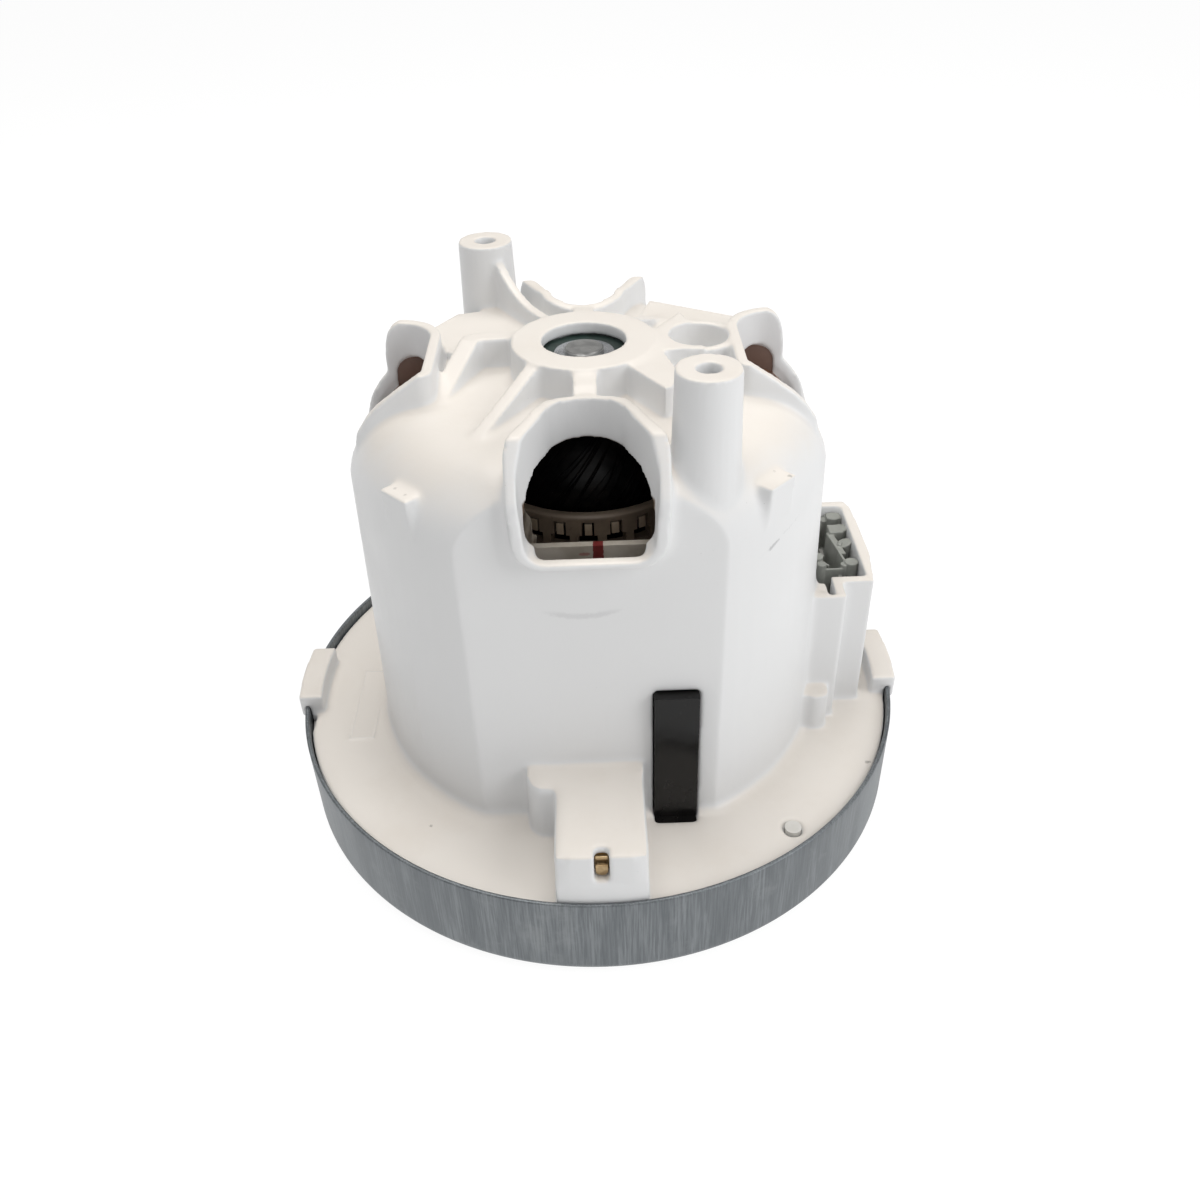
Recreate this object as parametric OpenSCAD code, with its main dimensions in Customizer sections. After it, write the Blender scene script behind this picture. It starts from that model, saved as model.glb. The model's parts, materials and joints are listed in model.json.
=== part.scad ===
// Vacuum motor unit: a moulded housing on a steel fan can, with the motor and the fan inside.
// Frame: origin at the middle of the can's underside, +Z up along the shaft.
// The brush hoods lie on the Y axis and the connector shroud on the +X side.

/* [Fan can] */
// Outer diameter of the steel can
can_d = 143; // [138:1:150]
// Sheet thickness of the can
can_t = 1; // [0.8:0.1:1.2]
// Height of the can's wall
can_h = 21.7; // [21.2:0.1:22.5]
// Outer radius of the can's bottom corner
can_corner_r = 3; // [2:0.5:4]
// Bore of the inlet eye
eye_d = 38; // [34:1:39]
// Height of the rolled lip round the inlet eye
eye_lip_h = 3.6; // [3:0.1:3.8]
// Depth of the recess round the inlet eye
can_recess = 1.6; // [1:0.1:1.8]
// Outer diameter of that recess
can_recess_d = 106; // [90:1:110]

/* [Plate and body] */
// Height of the can's rim above the plate
rim_stand = 2; // [1.5:0.1:2.5]
// Thickness of the plate
plate_t = 2.5; // [2:0.1:2.8]
// Radial gap between the plate and the can
plate_gap = 0.3; // [0.2:0.1:0.6]
// Body diameter at the plate
body_d_base = 103.2; // [102:0.2:105]
// Body diameter under the shoulder
body_d_top = 100.4; // [99:0.2:101]
// Wall thickness of the body
wall_t = 2.4; // [2:0.1:2.8]
// Height of the dome's flat top
dome_z = 102.3; // [101:0.1:103]
// Radius of the dome's shoulder
shoulder_r = 16.5; // [15:0.5:18]
// Distance of the flat panels from the axis at the plate
panel_y_base = 45.3; // [44.5:0.1:46]
// Distance of the flat panels from the axis at the shoulder
panel_y_top = 43.2; // [42.5:0.1:44]
// Radius of the fillet between body and plate
base_fillet_r = 2.8; // [2:0.2:3.5]

/* [Bearing ring] */
// Height of the ring's top face
ring_top_z = 109.4; // [109:0.1:110]
// Outer diameter of the ring
ring_d = 29.7; // [28:0.1:31]
// Bore of the ring's lip over the bearing
ring_bore_d = 17.06; // [16:0.02:18]
// Thickness of that lip
ring_lip_t = 2.7; // [2.2:0.1:3]

/* [Posts] */
// Height of the posts' top faces
post_top_z = 118.4; // [114:0.1:122]
// Diameter at the top
post_d = 11.9; // [11:0.1:13]
// Diameter at the foot
post_foot_d = 13.4; // [12.5:0.1:14.5]
// Distance of each post from the axis
post_pos_r = 41.45; // [41:0.05:42]
// Direction of the rear post
post_az = 121.1; // [119:0.1:123]
// Screw hole diameter
post_hole_d = 4.5; // [3.5:0.1:5.5]
// Screw hole depth
post_hole_depth = 16; // [10:1:20]

/* [Air windows] */
// Full width of a collar
win_w = 29.4; // [28:0.2:30]
// Full width of a collar near its sill
win_w_sill = 28; // [27:0.2:29]
// Wall thickness of a collar
win_t = 2.2; // [1.8:0.1:2.6]
// Height of the sill's underside
win_sill_z = 84.8; // [84:0.1:86]
// How far the front and rear collars stand out from the panel
win_out = 2.9; // [2:0.1:3.5]
// Distance of the front and rear collars' inner end from the axis
win_apex_front = 22; // [21:0.2:23]
// Distance of the side collars' inner end from the axis
win_apex_side = 29.4; // [28.8:0.2:30.4]
// Height of a collar's top
win_top_z = 109; // [108:0.2:110]

/* [Brush gear] */
// Height of the brush axis
brush_z = 27.3; // [27.1:0.1:27.6]
// Brush size along the circumference
brush_w = 6.3; // [5.5:0.1:6.5]
// Brush size along the shaft
brush_h = 10; // [9:0.1:10.2]
// Brush length
brush_len = 30; // [26:1:32]
// Gap between a brush and its tube
brush_gap = 0.1; // [0.05:0.05:0.2]
// Sheet thickness of a brush tube
tube_t = 0.7; // [0.5:0.1:0.8]
// Half width of a hood
hood_half_w = 9.25; // [8.8:0.05:9.6]
// Height of a hood's top
hood_top_z = 34.4; // [34.2:0.1:35]
// Width of the inspection slot
hood_slot_w = 3; // [2.5:0.1:4]

/* [Rotor] */
// Shaft diameter
shaft_d = 8; // [7:0.5:8]
// Height of the shaft's top end
shaft_top_z = 107.7; // [107.2:0.1:108.2]
// Commutator diameter
comm_d = 23; // [22:0.2:24]
// Commutator length
comm_len = 15; // [14.5:0.1:15.2]
// Commutator bars
comm_bars = 24; // [20:2:28]
// Armature core diameter
arm_d = 41; // [39:0.2:41.4]
// Armature core length
arm_len = 26; // [24:1:28]
// Armature slots
arm_slots = 12; // [10:1:14]
// Air gap between the armature and the poles
air_gap = 0.5; // [0.4:0.1:0.8]

/* [Bearings] */
// Outer diameter of a bearing
brg_d = 22; // [21.6:0.1:22.2]
// Width of a bearing
brg_w = 7; // [6.8:0.1:7.2]
// Ball diameter
ball_d = 3.97; // [3.6:0.01:4]
// Balls in a bearing
ball_n = 7; // [6:1:7]
// Height of the lower bearing's lower face
brg_low_z = 12.6; // [12.4:0.1:12.8]

/* [Fan] */
// Impeller diameter
fan_d = 104; // [98:1:108]
// Impeller blades
fan_blades = 7; // [6:1:9]
// Sheet thickness of the impeller
fan_t = 0.8; // [0.6:0.1:0.9]
// Depth of the blades at the impeller's edge
fan_edge_h = 4.4; // [4:0.1:4.8]
// Diffuser vanes
vane_n = 12; // [8:1:14]

/* [Connector] */
// Height of the shroud's rim
conn_top_z = 55; // [50:0.5:58]
// Distance of the shroud's outer face from the axis
conn_x = 63.6; // [62:0.1:65]
// Front face of the shroud's main part
conn_y_front = -11.4; // [-12:0.1:-11]
// Front face of the shroud's stepped part
conn_y_step = -17; // [-18:0.1:-16]
// Where the step begins
conn_x_step = 55.6; // [55:0.1:56]
// Rear face of the shroud
conn_y_rear = 22.6; // [22:0.1:24]
// Wall thickness of the shroud
conn_t = 2.1; // [1.8:0.1:2.4]

/* [Hidden] */
$fn = 96;

// Small clearances
eps = 0.01;
seat_gap = 0.05;
ring_fit = 0.02;
soft_gap = 0.3;
// Reach of a cutter past the face that it cuts
over = 2;

// Heights that follow from the driving sizes
can_r = can_d / 2;
can_in_r = can_r - can_t;
plate_r = can_in_r - plate_gap;
plate_top = can_h - rim_stand;
plate_bot = plate_top - plate_t;
shoulder_z = dome_z - shoulder_r;
body_r_top = body_d_top / 2;
body_r_base = body_d_base / 2;
dome_flat_r = body_r_top - shoulder_r;
plate_hole_r = 41;

// Bearings
brg_r = brg_d / 2;
shaft_r = shaft_d / 2;
ball_r = ball_d / 2;
brg_pitch_r = 7.5;
brg_inner_r = 6.1;
brg_outer_in_r = 8.9;
groove_r = ball_r + 0.04;
cage_half_t = 0.8;
cage_low = 1.2;
cage_high = 2.65;
brg_up_z = ring_top_z - ring_lip_t - brg_w - seat_gap;
cup_r = brg_r + 3;

// Brush gear
comm_r = comm_d / 2;
tube_in_w = brush_w / 2 + brush_gap;
tube_in_h = brush_h / 2 + brush_gap;
tube_w = tube_in_w + tube_t;
tube_h = tube_in_h + tube_t;
brush_y0 = comm_r + 0.1;
brush_y1 = brush_y0 + brush_len;
tube_y0 = comm_r + 1.6;
hood_y = plate_r - 0.1;
hood_r = can_in_r - 0.1;
tube_y1 = hood_y - 3.5;
spring_y1 = tube_y1 - tube_t - 0.3;

// Rotor stack
stator_room = 3.8;
comm_z0 = brg_low_z + brg_w + 1.1;
comm_z1 = comm_z0 + comm_len;
arm_z0 = comm_z1 + 10.8;
arm_z1 = arm_z0 + arm_len;
arm_r = arm_d / 2;
bore_r = arm_r + air_gap;
stator_r = body_r_top - wall_t - stator_room;
stator_flat = panel_y_top - wall_t - 1.3;
wind_seat_z = arm_z1 + 1.3;

// Fan stack
fan_r = fan_d / 2;
fan_plate_top = brg_low_z - 1.1;
fan_plate_bot = fan_plate_top - fan_t;
disc_z0 = fan_plate_top + 0.8;
disc_t = 1.2;
can_floor = can_recess + can_t;

// Points of an arc in the plane, from angle a0 to a1 about (cx, cy)
function arc(cx, cy, r, a0, a1, n = 12) =
    [for (i = [0 : n]) [cx + r * cos(a0 + (a1 - a0) * i / n), cy + r * sin(a0 + (a1 - a0) * i / n)]];

// Turned solid from a list of [radius, height] points
module turned(points) {
    rotate_extrude() polygon(points);
}

// Tube along Z
module tube(r_out, r_in, z0, z1) {
    turned([[r_in, z0], [r_out, z0], [r_out, z1], [r_in, z1]]);
}

// Block between two corners
module block(lo, hi) {
    translate(lo) cube(hi - lo);
}

// Plane figure in Y and Z, drawn along X over the width w on both sides of the middle
module along_x(w) {
    rotate([90, 0, 90]) translate([0, 0, -w]) linear_extrude(2 * w) children();
}

// Plane figure in X and Z, drawn along Y from y0 to y1
module along_y(y0, y1) {
    translate([0, y1, 0]) rotate([90, 0, 0]) linear_extrude(y1 - y0) children();
}

// Copies on the front and the rear side
module front_and_rear() {
    children();
    rotate([0, 0, 180]) children();
}

// Outline of the body's turned shape, drawn in by the wall thickness d
function body_profile(d) = concat(
    [[0, plate_bot], [body_r_base - d, plate_bot]],
    arc(dome_flat_r, shoulder_z, shoulder_r - d, 0, 90, 20),
    [[0, dome_z - d]]);

// Section of the body across the flat panels, drawn in by d
panel_round_r = 9;
function panel_profile(d) = let (yb = panel_y_base - d, yt = panel_y_top - d, r = panel_round_r,
    zr = dome_z + 0.4 - d - r) concat(
    [[-yb, plate_bot - over], [yb, plate_bot - over]],
    arc(yt - r, zr, r, 0, 90, 10),
    arc(r - yt, zr, r, 90, 180, 10));

module body_solid(d) {
    intersection() {
        turned(body_profile(d));
        along_x(can_r) polygon(panel_profile(d));
    }
}

// Concave fillet round the foot of the body, which starts a little inside the body's faces
foot_in = 0.4;
function foot_profile(d) = let (f = base_fillet_r) concat([[d + f, plate_top - 1], [d + f, plate_top]],
    arc(d + f, plate_top + f, f, 270, 180, 8));

module body_foot() {
    round_side = foot_profile(body_r_base - foot_in);
    flat_side = foot_profile(panel_y_base - foot_in);
    n = len(flat_side);
    intersection() {
        turned(concat([[0, plate_top - 1]], round_side, [[0, plate_top + base_fillet_r]]));
        along_x(can_r) polygon(concat(flat_side,
            [for (i = [n - 1 : -1 : 0]) [-flat_side[i][0], flat_side[i][1]]]));
    }
}

// Plan of a collar: round inner end at distance a, straight sides to the half width w at distance e
function collar_plan(a, w, e, d) = let (r = 9.5 - d, tilt = 13) concat(
    arc(0, -(a + 9.5), r, 180 - tilt, tilt, 14),
    [[w - d, -(e - 6)], [w - d, -(e + over)], [-(w - d), -(e + over)], [-(w - d), -(e - 6)]]);

// Plan of a side collar: a tight corner on the near side and a wide one on the far side.
// The near side lies at x > 0 where s is 1
side_near_r = 3;
side_far_r = 10;
function side_plan(a, w, e, d, s) = let (rn = side_near_r, rf = side_far_r) [for (p = concat(
    [[w - d, -(e + over)]],
    arc(w - rn, -(a + rn), rn - d, 0, 90, 6),
    arc(rf - w, -(a + rf), rf - d, 90, 180, 10),
    [[d - w, -(e + over)]])) [s * p[0], p[1]]];

// Front view of a collar, drawn in by d
function collar_front(d) = let (r = 5 - d / 2, ws = win_w_sill / 2 - d, wt = win_w / 2 - d,
    zb = win_sill_z + d * 0.6) concat(
    [[-wt, win_top_z + 10], [-wt, win_sill_z + 14]],
    arc(-ws + r, zb + r, r, 180, 270, 6),
    arc(ws - r, zb + r, r, 270, 360, 6),
    [[wt, win_sill_z + 14], [wt, win_top_z + 10]]);

// Side view of a collar's edge: distance from the axis and height
win_foot_z = 80;
function edge_high(a, e, top) = [[a - over, win_foot_z], [a - over, top - 2], [a + 3, top - 0.6],
    [a + 8, top], [e - 7, top - 0.6], [e - 4.4, top - 5], [e - 1.3, top - 11], [e - 0.3, top - 17],
    [e, win_sill_z], [e, win_foot_z]];

// The low, sloping edge on the near side of the side windows
function edge_low(a, e, top) = [[a - over, win_foot_z], [a - over, top], [a + 2.6, top],
    [a + 3.9, top - 0.9], [a + 5.5, top - 2], [a + 6.9, top - 2.9], [a + 8.8, top - 4.3],
    [a + 11.3, top - 6.1], [a + 13.8, top - 8.6], [a + 16.2, top - 12.1], [a + 17.2, top - 16.7],
    [e, top - 21], [e, win_foot_z]];

// A high cheek that drops steeply, on the far side of the side windows
function edge_cheek(a, e, top) = [[a - over, win_foot_z], [a - over, top], [a + 9.8, top],
    [a + 11.3, top - 0.9], [a + 12.5, top - 2.6], [a + 13.2, top - 5], [a + 13.5, top - 8],
    [a + 13.5, top - 16], [e, top - 21], [e, win_foot_z]];

// Plan of the window w, drawn in by d and out to the distance e
function window_plan(w, e, d) = w[4] == 0 ? collar_plan(w[1], win_w / 2, e, d)
    : side_plan(w[1], win_w / 2, e, d, w[4] == 1 ? 1 : -1);

module collar_half(w, edge, side) {
    e = w[2];
    intersection() {
        linear_extrude(win_top_z + 12) polygon(window_plan(w, e, 0));
        along_y(-(e + over), 0) polygon(collar_front(0));
        along_x(win_w) polygon([for (p = edge) [-p[0], p[1]]]);
        block([side > 0 ? -eps : -win_w, -(e + over), win_foot_z],
            [side > 0 ? win_w : eps, 0, win_top_z + 12]);
    }
}

// The air way through a collar and the wall behind it
module collar_way(w) {
    e = w[2];
    intersection() {
        linear_extrude(win_top_z + 20) polygon(window_plan(w, e + over, win_t));
        along_y(-(e + 3 * over), 0) polygon(collar_front(win_t));
    }
    // the sill slopes down inwards
    y0 = win_t - e;
    along_x(win_w_sill / 2 - win_t - 1.6) polygon([[y0, win_sill_z + 0.6 * win_t],
        [y0 + 6.6, win_sill_z - 4], [y0 + 16, win_sill_z - 4], [y0 + 16, win_sill_z + 6],
        [y0, win_sill_z + 6]]);
}

// The four windows: direction, inner end, outer end, top, and the kind of edge on the sides x > 0 and x < 0
win_front_e = panel_y_top + 0.6 + win_out;
win_side_e = body_r_top - 2.8;
windows = [[0, win_apex_front, win_front_e, win_top_z, 0, 0],
    [180, win_apex_front, win_front_e, win_top_z - 0.9, 0, 0],
    [-90, win_apex_side, win_side_e, win_top_z, 1, 2], [90, win_apex_side, win_side_e, win_top_z, 2, 1]];

function window_edge(w, kind) = kind == 0 ? edge_high(w[1], w[2], w[3])
    : kind == 1 ? edge_low(w[1], w[2], w[3]) : edge_cheek(w[1], w[2], w[3]);

module collars() {
    for (w = windows) rotate([0, 0, w[0]]) {
        collar_half(w, window_edge(w, w[4]), 1);
        collar_half(w, window_edge(w, w[5]), -1);
    }
}

module collar_ways() {
    for (w = windows) rotate([0, 0, w[0]]) collar_way(w);
}

// Arched opening in the far cheek of a side window, which leads in under the dome's shell
arch_pos = win_apex_side + 7.2;
arch_r = 4.2;
arch_z = 97.4;
arch_y = 5;
arch_reach = 20;
arch_shell = 1;

module cheek_arch() {
    for (s = [0, 1]) mirror([s, 0, 0]) intersection() {
        rotate([90, 0, 0]) translate([0, 0, -arch_reach]) linear_extrude(arch_reach - arch_y)
            polygon(concat([[arch_pos + arch_r, arch_z - 6]], arc(arch_pos, arch_z, arch_r, 0, 180, 16),
                [[arch_pos - arch_r, arch_z - 6]]));
        union() {
            body_solid(arch_shell);
            block([0, 0, 0], [body_r_base, win_w / 2 - win_t / 2, win_top_z]);
        }
    }
}

// Ribs, plateaus and the cup on top of the dome
rib_z = ring_top_z - 0.5;
plateau_z = 104.8;
rib_foot_z = dome_z - 3;
cup_pos = [23.4, 2];
cup_in_r = 6;
cup_t = 1.8;

// Straight rib with a sloping crest: from its start, in direction az, over the length len
module slope_rib(start, az, len, half_t, flat = 0) {
    translate([start[0], start[1], 0]) rotate([0, 0, az]) along_x(half_t)
        polygon([[0, rib_foot_z], [0, rib_z], [-flat, rib_z], [-len, dome_z - 0.8], [-len, rib_foot_z]]);
}

module spoke() {
    along_x(2.3) polygon([[-13, rib_foot_z], [-13, rib_z], [-19, rib_z - 0.6], [-23.4, rib_z - 2.2],
        [-23.4, rib_foot_z]]);
}

// Flat-topped pad on the dome from a plan outline
module pad(top, points) {
    translate([0, 0, rib_foot_z]) linear_extrude(top - rib_foot_z) polygon(points);
}

module top_ribs() {
    front_and_rear() {
        spoke();
        slope_rib([-9.4, -9.8], -31.9, 24, 1.5, 1.5);
    }
    // left arm and its sloping end
    pad(rib_z, [[-13, 6.4], [-13, 2.6], [-22, 2.2], [-24.4, 3.4], [-23, 6.2]]);
    slope_rib([-22.6, 4.4], -22, 20.8, 2.1, 2.5);
    // web on the right with its pointed corner
    pad(rib_z, [[7.7, -11.2], [14.8, -23], [16.2, -22.4], [18.4, -16.8], [15.6, -6], [19.5, -5.4], [24, -6],
        [22, 9], [20.5, 14], [14.4, 5]]);
    // low plateaus behind the arms
    pad(plateau_z, [[-13, 4], [-24, 3], [-31.5, 9], [-34.5, 18], [-28.5, 27.5], [-19, 30], [-10, 16]]);
    pad(plateau_z, [[13, 4], [25, 3], [33, 8], [36.5, 19], [15, 32], [10, 16]]);
    // cup
    translate([cup_pos[0], cup_pos[1], rib_foot_z])
        cylinder(h = rib_z - 0.3 - rib_foot_z, r = cup_in_r + cup_t);
}

post_foot_z = shoulder_z + 4.3;

module post(az) {
    foot = post_foot_d / 2;
    rotate([0, 0, az]) translate([post_pos_r, 0, 0]) {
        translate([0, 0, post_foot_z]) cylinder(h = post_top_z - post_foot_z, r1 = foot, r2 = post_d / 2);
    }
}

module post_hole(az) {
    rotate([0, 0, az]) translate([post_pos_r, 0, post_top_z - post_hole_depth])
        cylinder(h = post_hole_depth + over, d = post_hole_d);
}

// Curved gusset between the rear post and the ring
module post_gusset() {
    x1 = post_pos_r - post_d / 2 + 1;
    rotate([0, 0, post_az]) rotate([90, 0, 0]) translate([0, 0, -1.1]) linear_extrude(2.2)
        polygon(concat([[13, rib_foot_z], [13, rib_z]], arc(19, rib_z + 24, 24, 270, 312, 8),
            [[x1 + 0.4, post_top_z - 1.2], [x1 + 1, rib_foot_z]]));
}

// Wedge lugs at the four corners
lug_w = 7.6;
lug_r = 50.8;
lug_top_z = 95.5;
lug_tip_z = 86.8;

module lugs() {
    for (a = [45 : 90 : 315]) rotate([0, 0, a + 90]) along_x(lug_w / 2)
        polygon([[-40, lug_top_z], [-lug_r, lug_top_z], [-body_r_top + 0.1, lug_tip_z], [-40, lug_tip_z]]);
}

// Hood over a brush tube, with its side boss. Its front is rounded so that it clears the can's wall
hood_step = 0.25;
hood_step_h = 6.5;

module hood() {
    w = hood_half_w;
    intersection() {
        union() {
            block([-w, -hood_y, plate_bot], [w, -panel_y_base + 4, hood_top_z]);
            block([-w, -hood_y - hood_step, plate_bot], [w, -hood_y + 1, plate_top + hood_step_h]);
        }
        cylinder(h = can_d, r = hood_r);
    }
    translate([-w - 1.9, -panel_y_base - 2.4, plate_bot]) cylinder(h = hood_top_z - plate_bot, r = 3.9);
    block([-w - 5.8, -panel_y_base - 2.4, plate_bot], [-w + 1, -panel_y_base + 3, hood_top_z]);
}

module hood_pockets() {
    for (s = [-1, 1]) {
        x0 = s > 0 ? tube_w + 1.4 : -hood_half_w + 1.6;
        block([x0, -hood_y + 3, plate_top + 1.8],
            [x0 + hood_half_w - tube_w - 3, -panel_y_base + 12, hood_top_z - 1.6]);
    }
}

module hood_cuts() {
    block([-tube_w - seat_gap, -tube_y1 - seat_gap, brush_z - tube_h - seat_gap],
        [tube_w + seat_gap, -panel_y_base + 12, brush_z + tube_h + seat_gap]);
    block([-hood_slot_w / 2, -hood_y - over, brush_z],
        [hood_slot_w / 2, -tube_y1 - seat_gap - eps, hood_top_z + over]);
    block([-hood_slot_w / 2, -tube_y1 - 0.6, brush_z], [hood_slot_w / 2, -tube_y1 + 0.2, brush_z + tube_h]);
}

// Tall slot of the front panel and the insert behind it
slot_x0 = 11.6;
slot_x1 = 20.6;
slot_z1 = 53;
slot_y = -49.4;
slot_rim = 0.15;

module panel_slot(g) {
    block([slot_x0 - g, slot_y - g, plate_top - 1.2 - g], [slot_x1 + g, -panel_y_base + 6, slot_z1 + g]);
}

// Connector shroud on the right, open at the top
conn_in_x = 47;
ledge_x = 53;
ledge_y = -21;
ledge_z = 30;
conn_floor_z = 22.2;

module conn_plan(d) {
    polygon([[conn_in_x - 6, conn_y_step + d], [conn_x_step - d, conn_y_step + d],
        [conn_x_step - d, conn_y_front + d],
        [conn_x - d, conn_y_front + d], [conn_x - d, conn_y_rear - d], [conn_in_x - 6, conn_y_rear - d]]);
}

// The outside bulges a little between its corners
conn_bulge = 0.6;

module conn_outside() {
    polygon([[conn_in_x - 6, conn_y_step], [conn_x_step, conn_y_step], [conn_x_step, conn_y_front],
        [conn_x - 0.9, conn_y_front], [conn_x + conn_bulge, conn_y_front + 11.6],
        [conn_x + conn_bulge / 3, conn_y_rear - 2.9], [conn_x - 1, conn_y_rear],
        [conn_in_x - 6, conn_y_rear]]);
}

module conn_shroud() {
    translate([0, 0, plate_bot]) linear_extrude(conn_top_z - plate_bot) conn_outside();
    block([conn_in_x - 3, ledge_y, plate_bot], [ledge_x, conn_y_step + 1, ledge_z]);
    translate([ledge_x - 2.5, ledge_y + 2.4, plate_bot]) cylinder(h = ledge_z - plate_bot, r = 3);
}

module conn_hollow() {
    difference() {
        translate([0, 0, conn_floor_z]) linear_extrude(conn_top_z) conn_plan(conn_t);
        body_solid(-0.2);
    }
    // notch at the step and the passage to the motor
    block([conn_x_step - conn_t - 1.8, conn_y_step + 1, conn_top_z - 8],
        [conn_x_step - conn_t, conn_y_front + conn_t, conn_top_z + over]);
    block([body_r_base - 12, 0, conn_floor_z + 2], [body_r_base + 1, 12, conn_floor_z + 12]);
}

// Rim clips on both sides
clip_half_w = 9.6;
clip_r = can_r + 1.1;
clip_top_z = can_h + 3;
clip_leg_z = can_h - 3.2;

module clips() {
    for (s = [-1, 1]) intersection() {
        union() {
            tube(clip_r, can_r + 0.1, clip_leg_z, clip_top_z);
            tube(clip_r - 0.2, can_r - 4.5, can_h + 0.1, clip_top_z);
            tube(can_in_r - 0.1, can_r - 4.5, plate_bot, clip_top_z);
        }
        block([s > 0 ? 0 : -can_d, -clip_half_w, 0], [s > 0 ? can_d : 0, clip_half_w, can_d]);
    }
}

// Bosses inside: bracket screws from below, stator screws from below
brk_pos = 30;
brk_boss_r = 4;
brk_screw_r = 1.45;
st_pos = [17, stator_flat - 4.3];
st_boss_r = 4;
st_screw_r = 1.95;
peg_pos = [40.8, -51.3];
peg_r = 1.75;

module inner_bosses() {
    for (a = [0 : 90 : 270]) rotate([0, 0, a]) {
        translate([brk_pos, brk_pos, plate_top + seat_gap]) cylinder(h = 13, r = brk_boss_r);
        translate([brk_pos, brk_pos, plate_top + seat_gap]) rotate([0, 0, 45])
            block([0, -1.5, 0], [7.5, 1.5, 13]);
    }
    front_and_rear() translate([st_pos[0], st_pos[1], arm_z1 + 0.1])
        cylinder(h = dome_z - 3 - arm_z1, r = st_boss_r);
    tube(cup_r, brg_r - 1, brg_up_z - 1.2, dome_z - 1);
}

module inner_boss_holes() {
    for (a = [0 : 90 : 270]) rotate([0, 0, a]) translate([brk_pos, brk_pos, plate_top - 1])
        cylinder(h = 11, r = brk_screw_r + seat_gap);
    front_and_rear() translate([st_pos[0], st_pos[1], arm_z1 - 1])
        cylinder(h = 18, r = st_screw_r + seat_gap);
}

// Hole of the plate, with ears for the bracket
module bracket_plan(g) {
    circle(r = plate_hole_r - 0.3 + g);
    for (a = [45 : 90 : 315]) rotate(a) translate([brk_pos * sqrt(2), 0]) circle(r = 5.6 + g);
}

// Bare raised frame on the plate, at the left
frame_x = [-59, -53];
frame_y = [-19.2, 5.5];

module plate_frame() {
    difference() {
        block([frame_x[0], frame_y[0], plate_top - 0.5], [frame_x[1], frame_y[1], plate_top + 0.3]);
        block([frame_x[0] + 0.6, frame_y[0] + 0.6, plate_top - 1],
            [frame_x[1] - 0.6, frame_y[1] - 0.6, plate_top + 1]);
    }
}

// Plastic moulding: plate, body, dome, ring, posts, collars, hoods, shroud and clips
module motor_housing() {
    color("white") difference() {
        union() {
            difference() {
                union() {
                    translate([0, 0, plate_bot]) cylinder(h = plate_t, r = plate_r, $fn = 180);
                    body_solid(0);
                    body_foot();
                    front_and_rear() hood();
                    conn_shroud();
                    collars();
                    lugs();
                    top_ribs();
                    post(post_az);
                    post(post_az + 180);
                    post_gusset();
                    translate([0, 0, dome_z - 3]) cylinder(h = ring_top_z - dome_z + 3, d = ring_d);
                }
                body_solid(wall_t);
                cheek_arch();
                translate([0, 0, plate_bot - over]) linear_extrude(plate_t + over + seat_gap)
                    bracket_plan(0.3);
                collar_ways();
                conn_hollow();
            }
            inner_bosses();
            plate_frame();
            clips();
        }
        front_and_rear() {
            hood_cuts();
            hood_pockets();
        }
        panel_slot(slot_rim);
        inner_boss_holes();
        collar_ways();
        post_hole(post_az);
        post_hole(post_az + 180);
        translate([cup_pos[0], cup_pos[1], dome_z + 0.6]) cylinder(h = 20, r = cup_in_r);
        translate([0, 0, brg_up_z - over]) cylinder(h = brg_w + over + seat_gap, r = brg_r + ring_fit);
        translate([0, 0, brg_up_z]) cylinder(h = 30, d = ring_bore_d);
        for (s = [0, 180]) rotate([0, 0, s]) {
            translate([peg_pos[0], peg_pos[1], plate_bot - over])
                cylinder(h = plate_t + 2 * over, r = peg_r + 0.15);
            translate([peg_pos[0], peg_pos[1], plate_top - 0.7]) cylinder(h = over, r = peg_r + 0.7);
        }
        block([-can_r, -16.8, plate_bot - over], [-can_r + 3.2, -clip_half_w - 0.4, plate_top + over]);
    }
}

// Pressed steel can with the inlet eye
module fan_can() {
    r1 = can_recess_d / 2;
    er = eye_d / 2;
    c = can_corner_r;
    color("slategray") rotate_extrude($fn = 180) polygon(concat(
        [[er, can_recess], [er + can_t + 1, can_recess], [r1 - 1.2, can_recess], [r1 + 1.2, 0]],
        arc(can_r - c, c, c, 270, 360, 8),
        [[can_r, can_h], [can_in_r, can_h]],
        arc(can_r - c, c, c - can_t, 360, 270, 8),
        [[r1 + 1.6, can_t], [r1 - 0.8, can_floor], [er + can_t + 1, can_floor], [er + can_t, can_floor + 0.5],
         [er + can_t, can_recess + eye_lip_h], [er, can_recess + eye_lip_h]]));
}

// Grey insert of the connector: a base with four contact wells and round towers
well_y = [-3, 3.4, 9.8, 16.2];
well_x = [53.6, 57.4];
insert_top_z = conn_top_z - 8;
tower_top_z = conn_top_z - 1.6;
insert_x0 = 52;
well_floor_z = conn_floor_z + 4;
well_y_near = 2.1;

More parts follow.
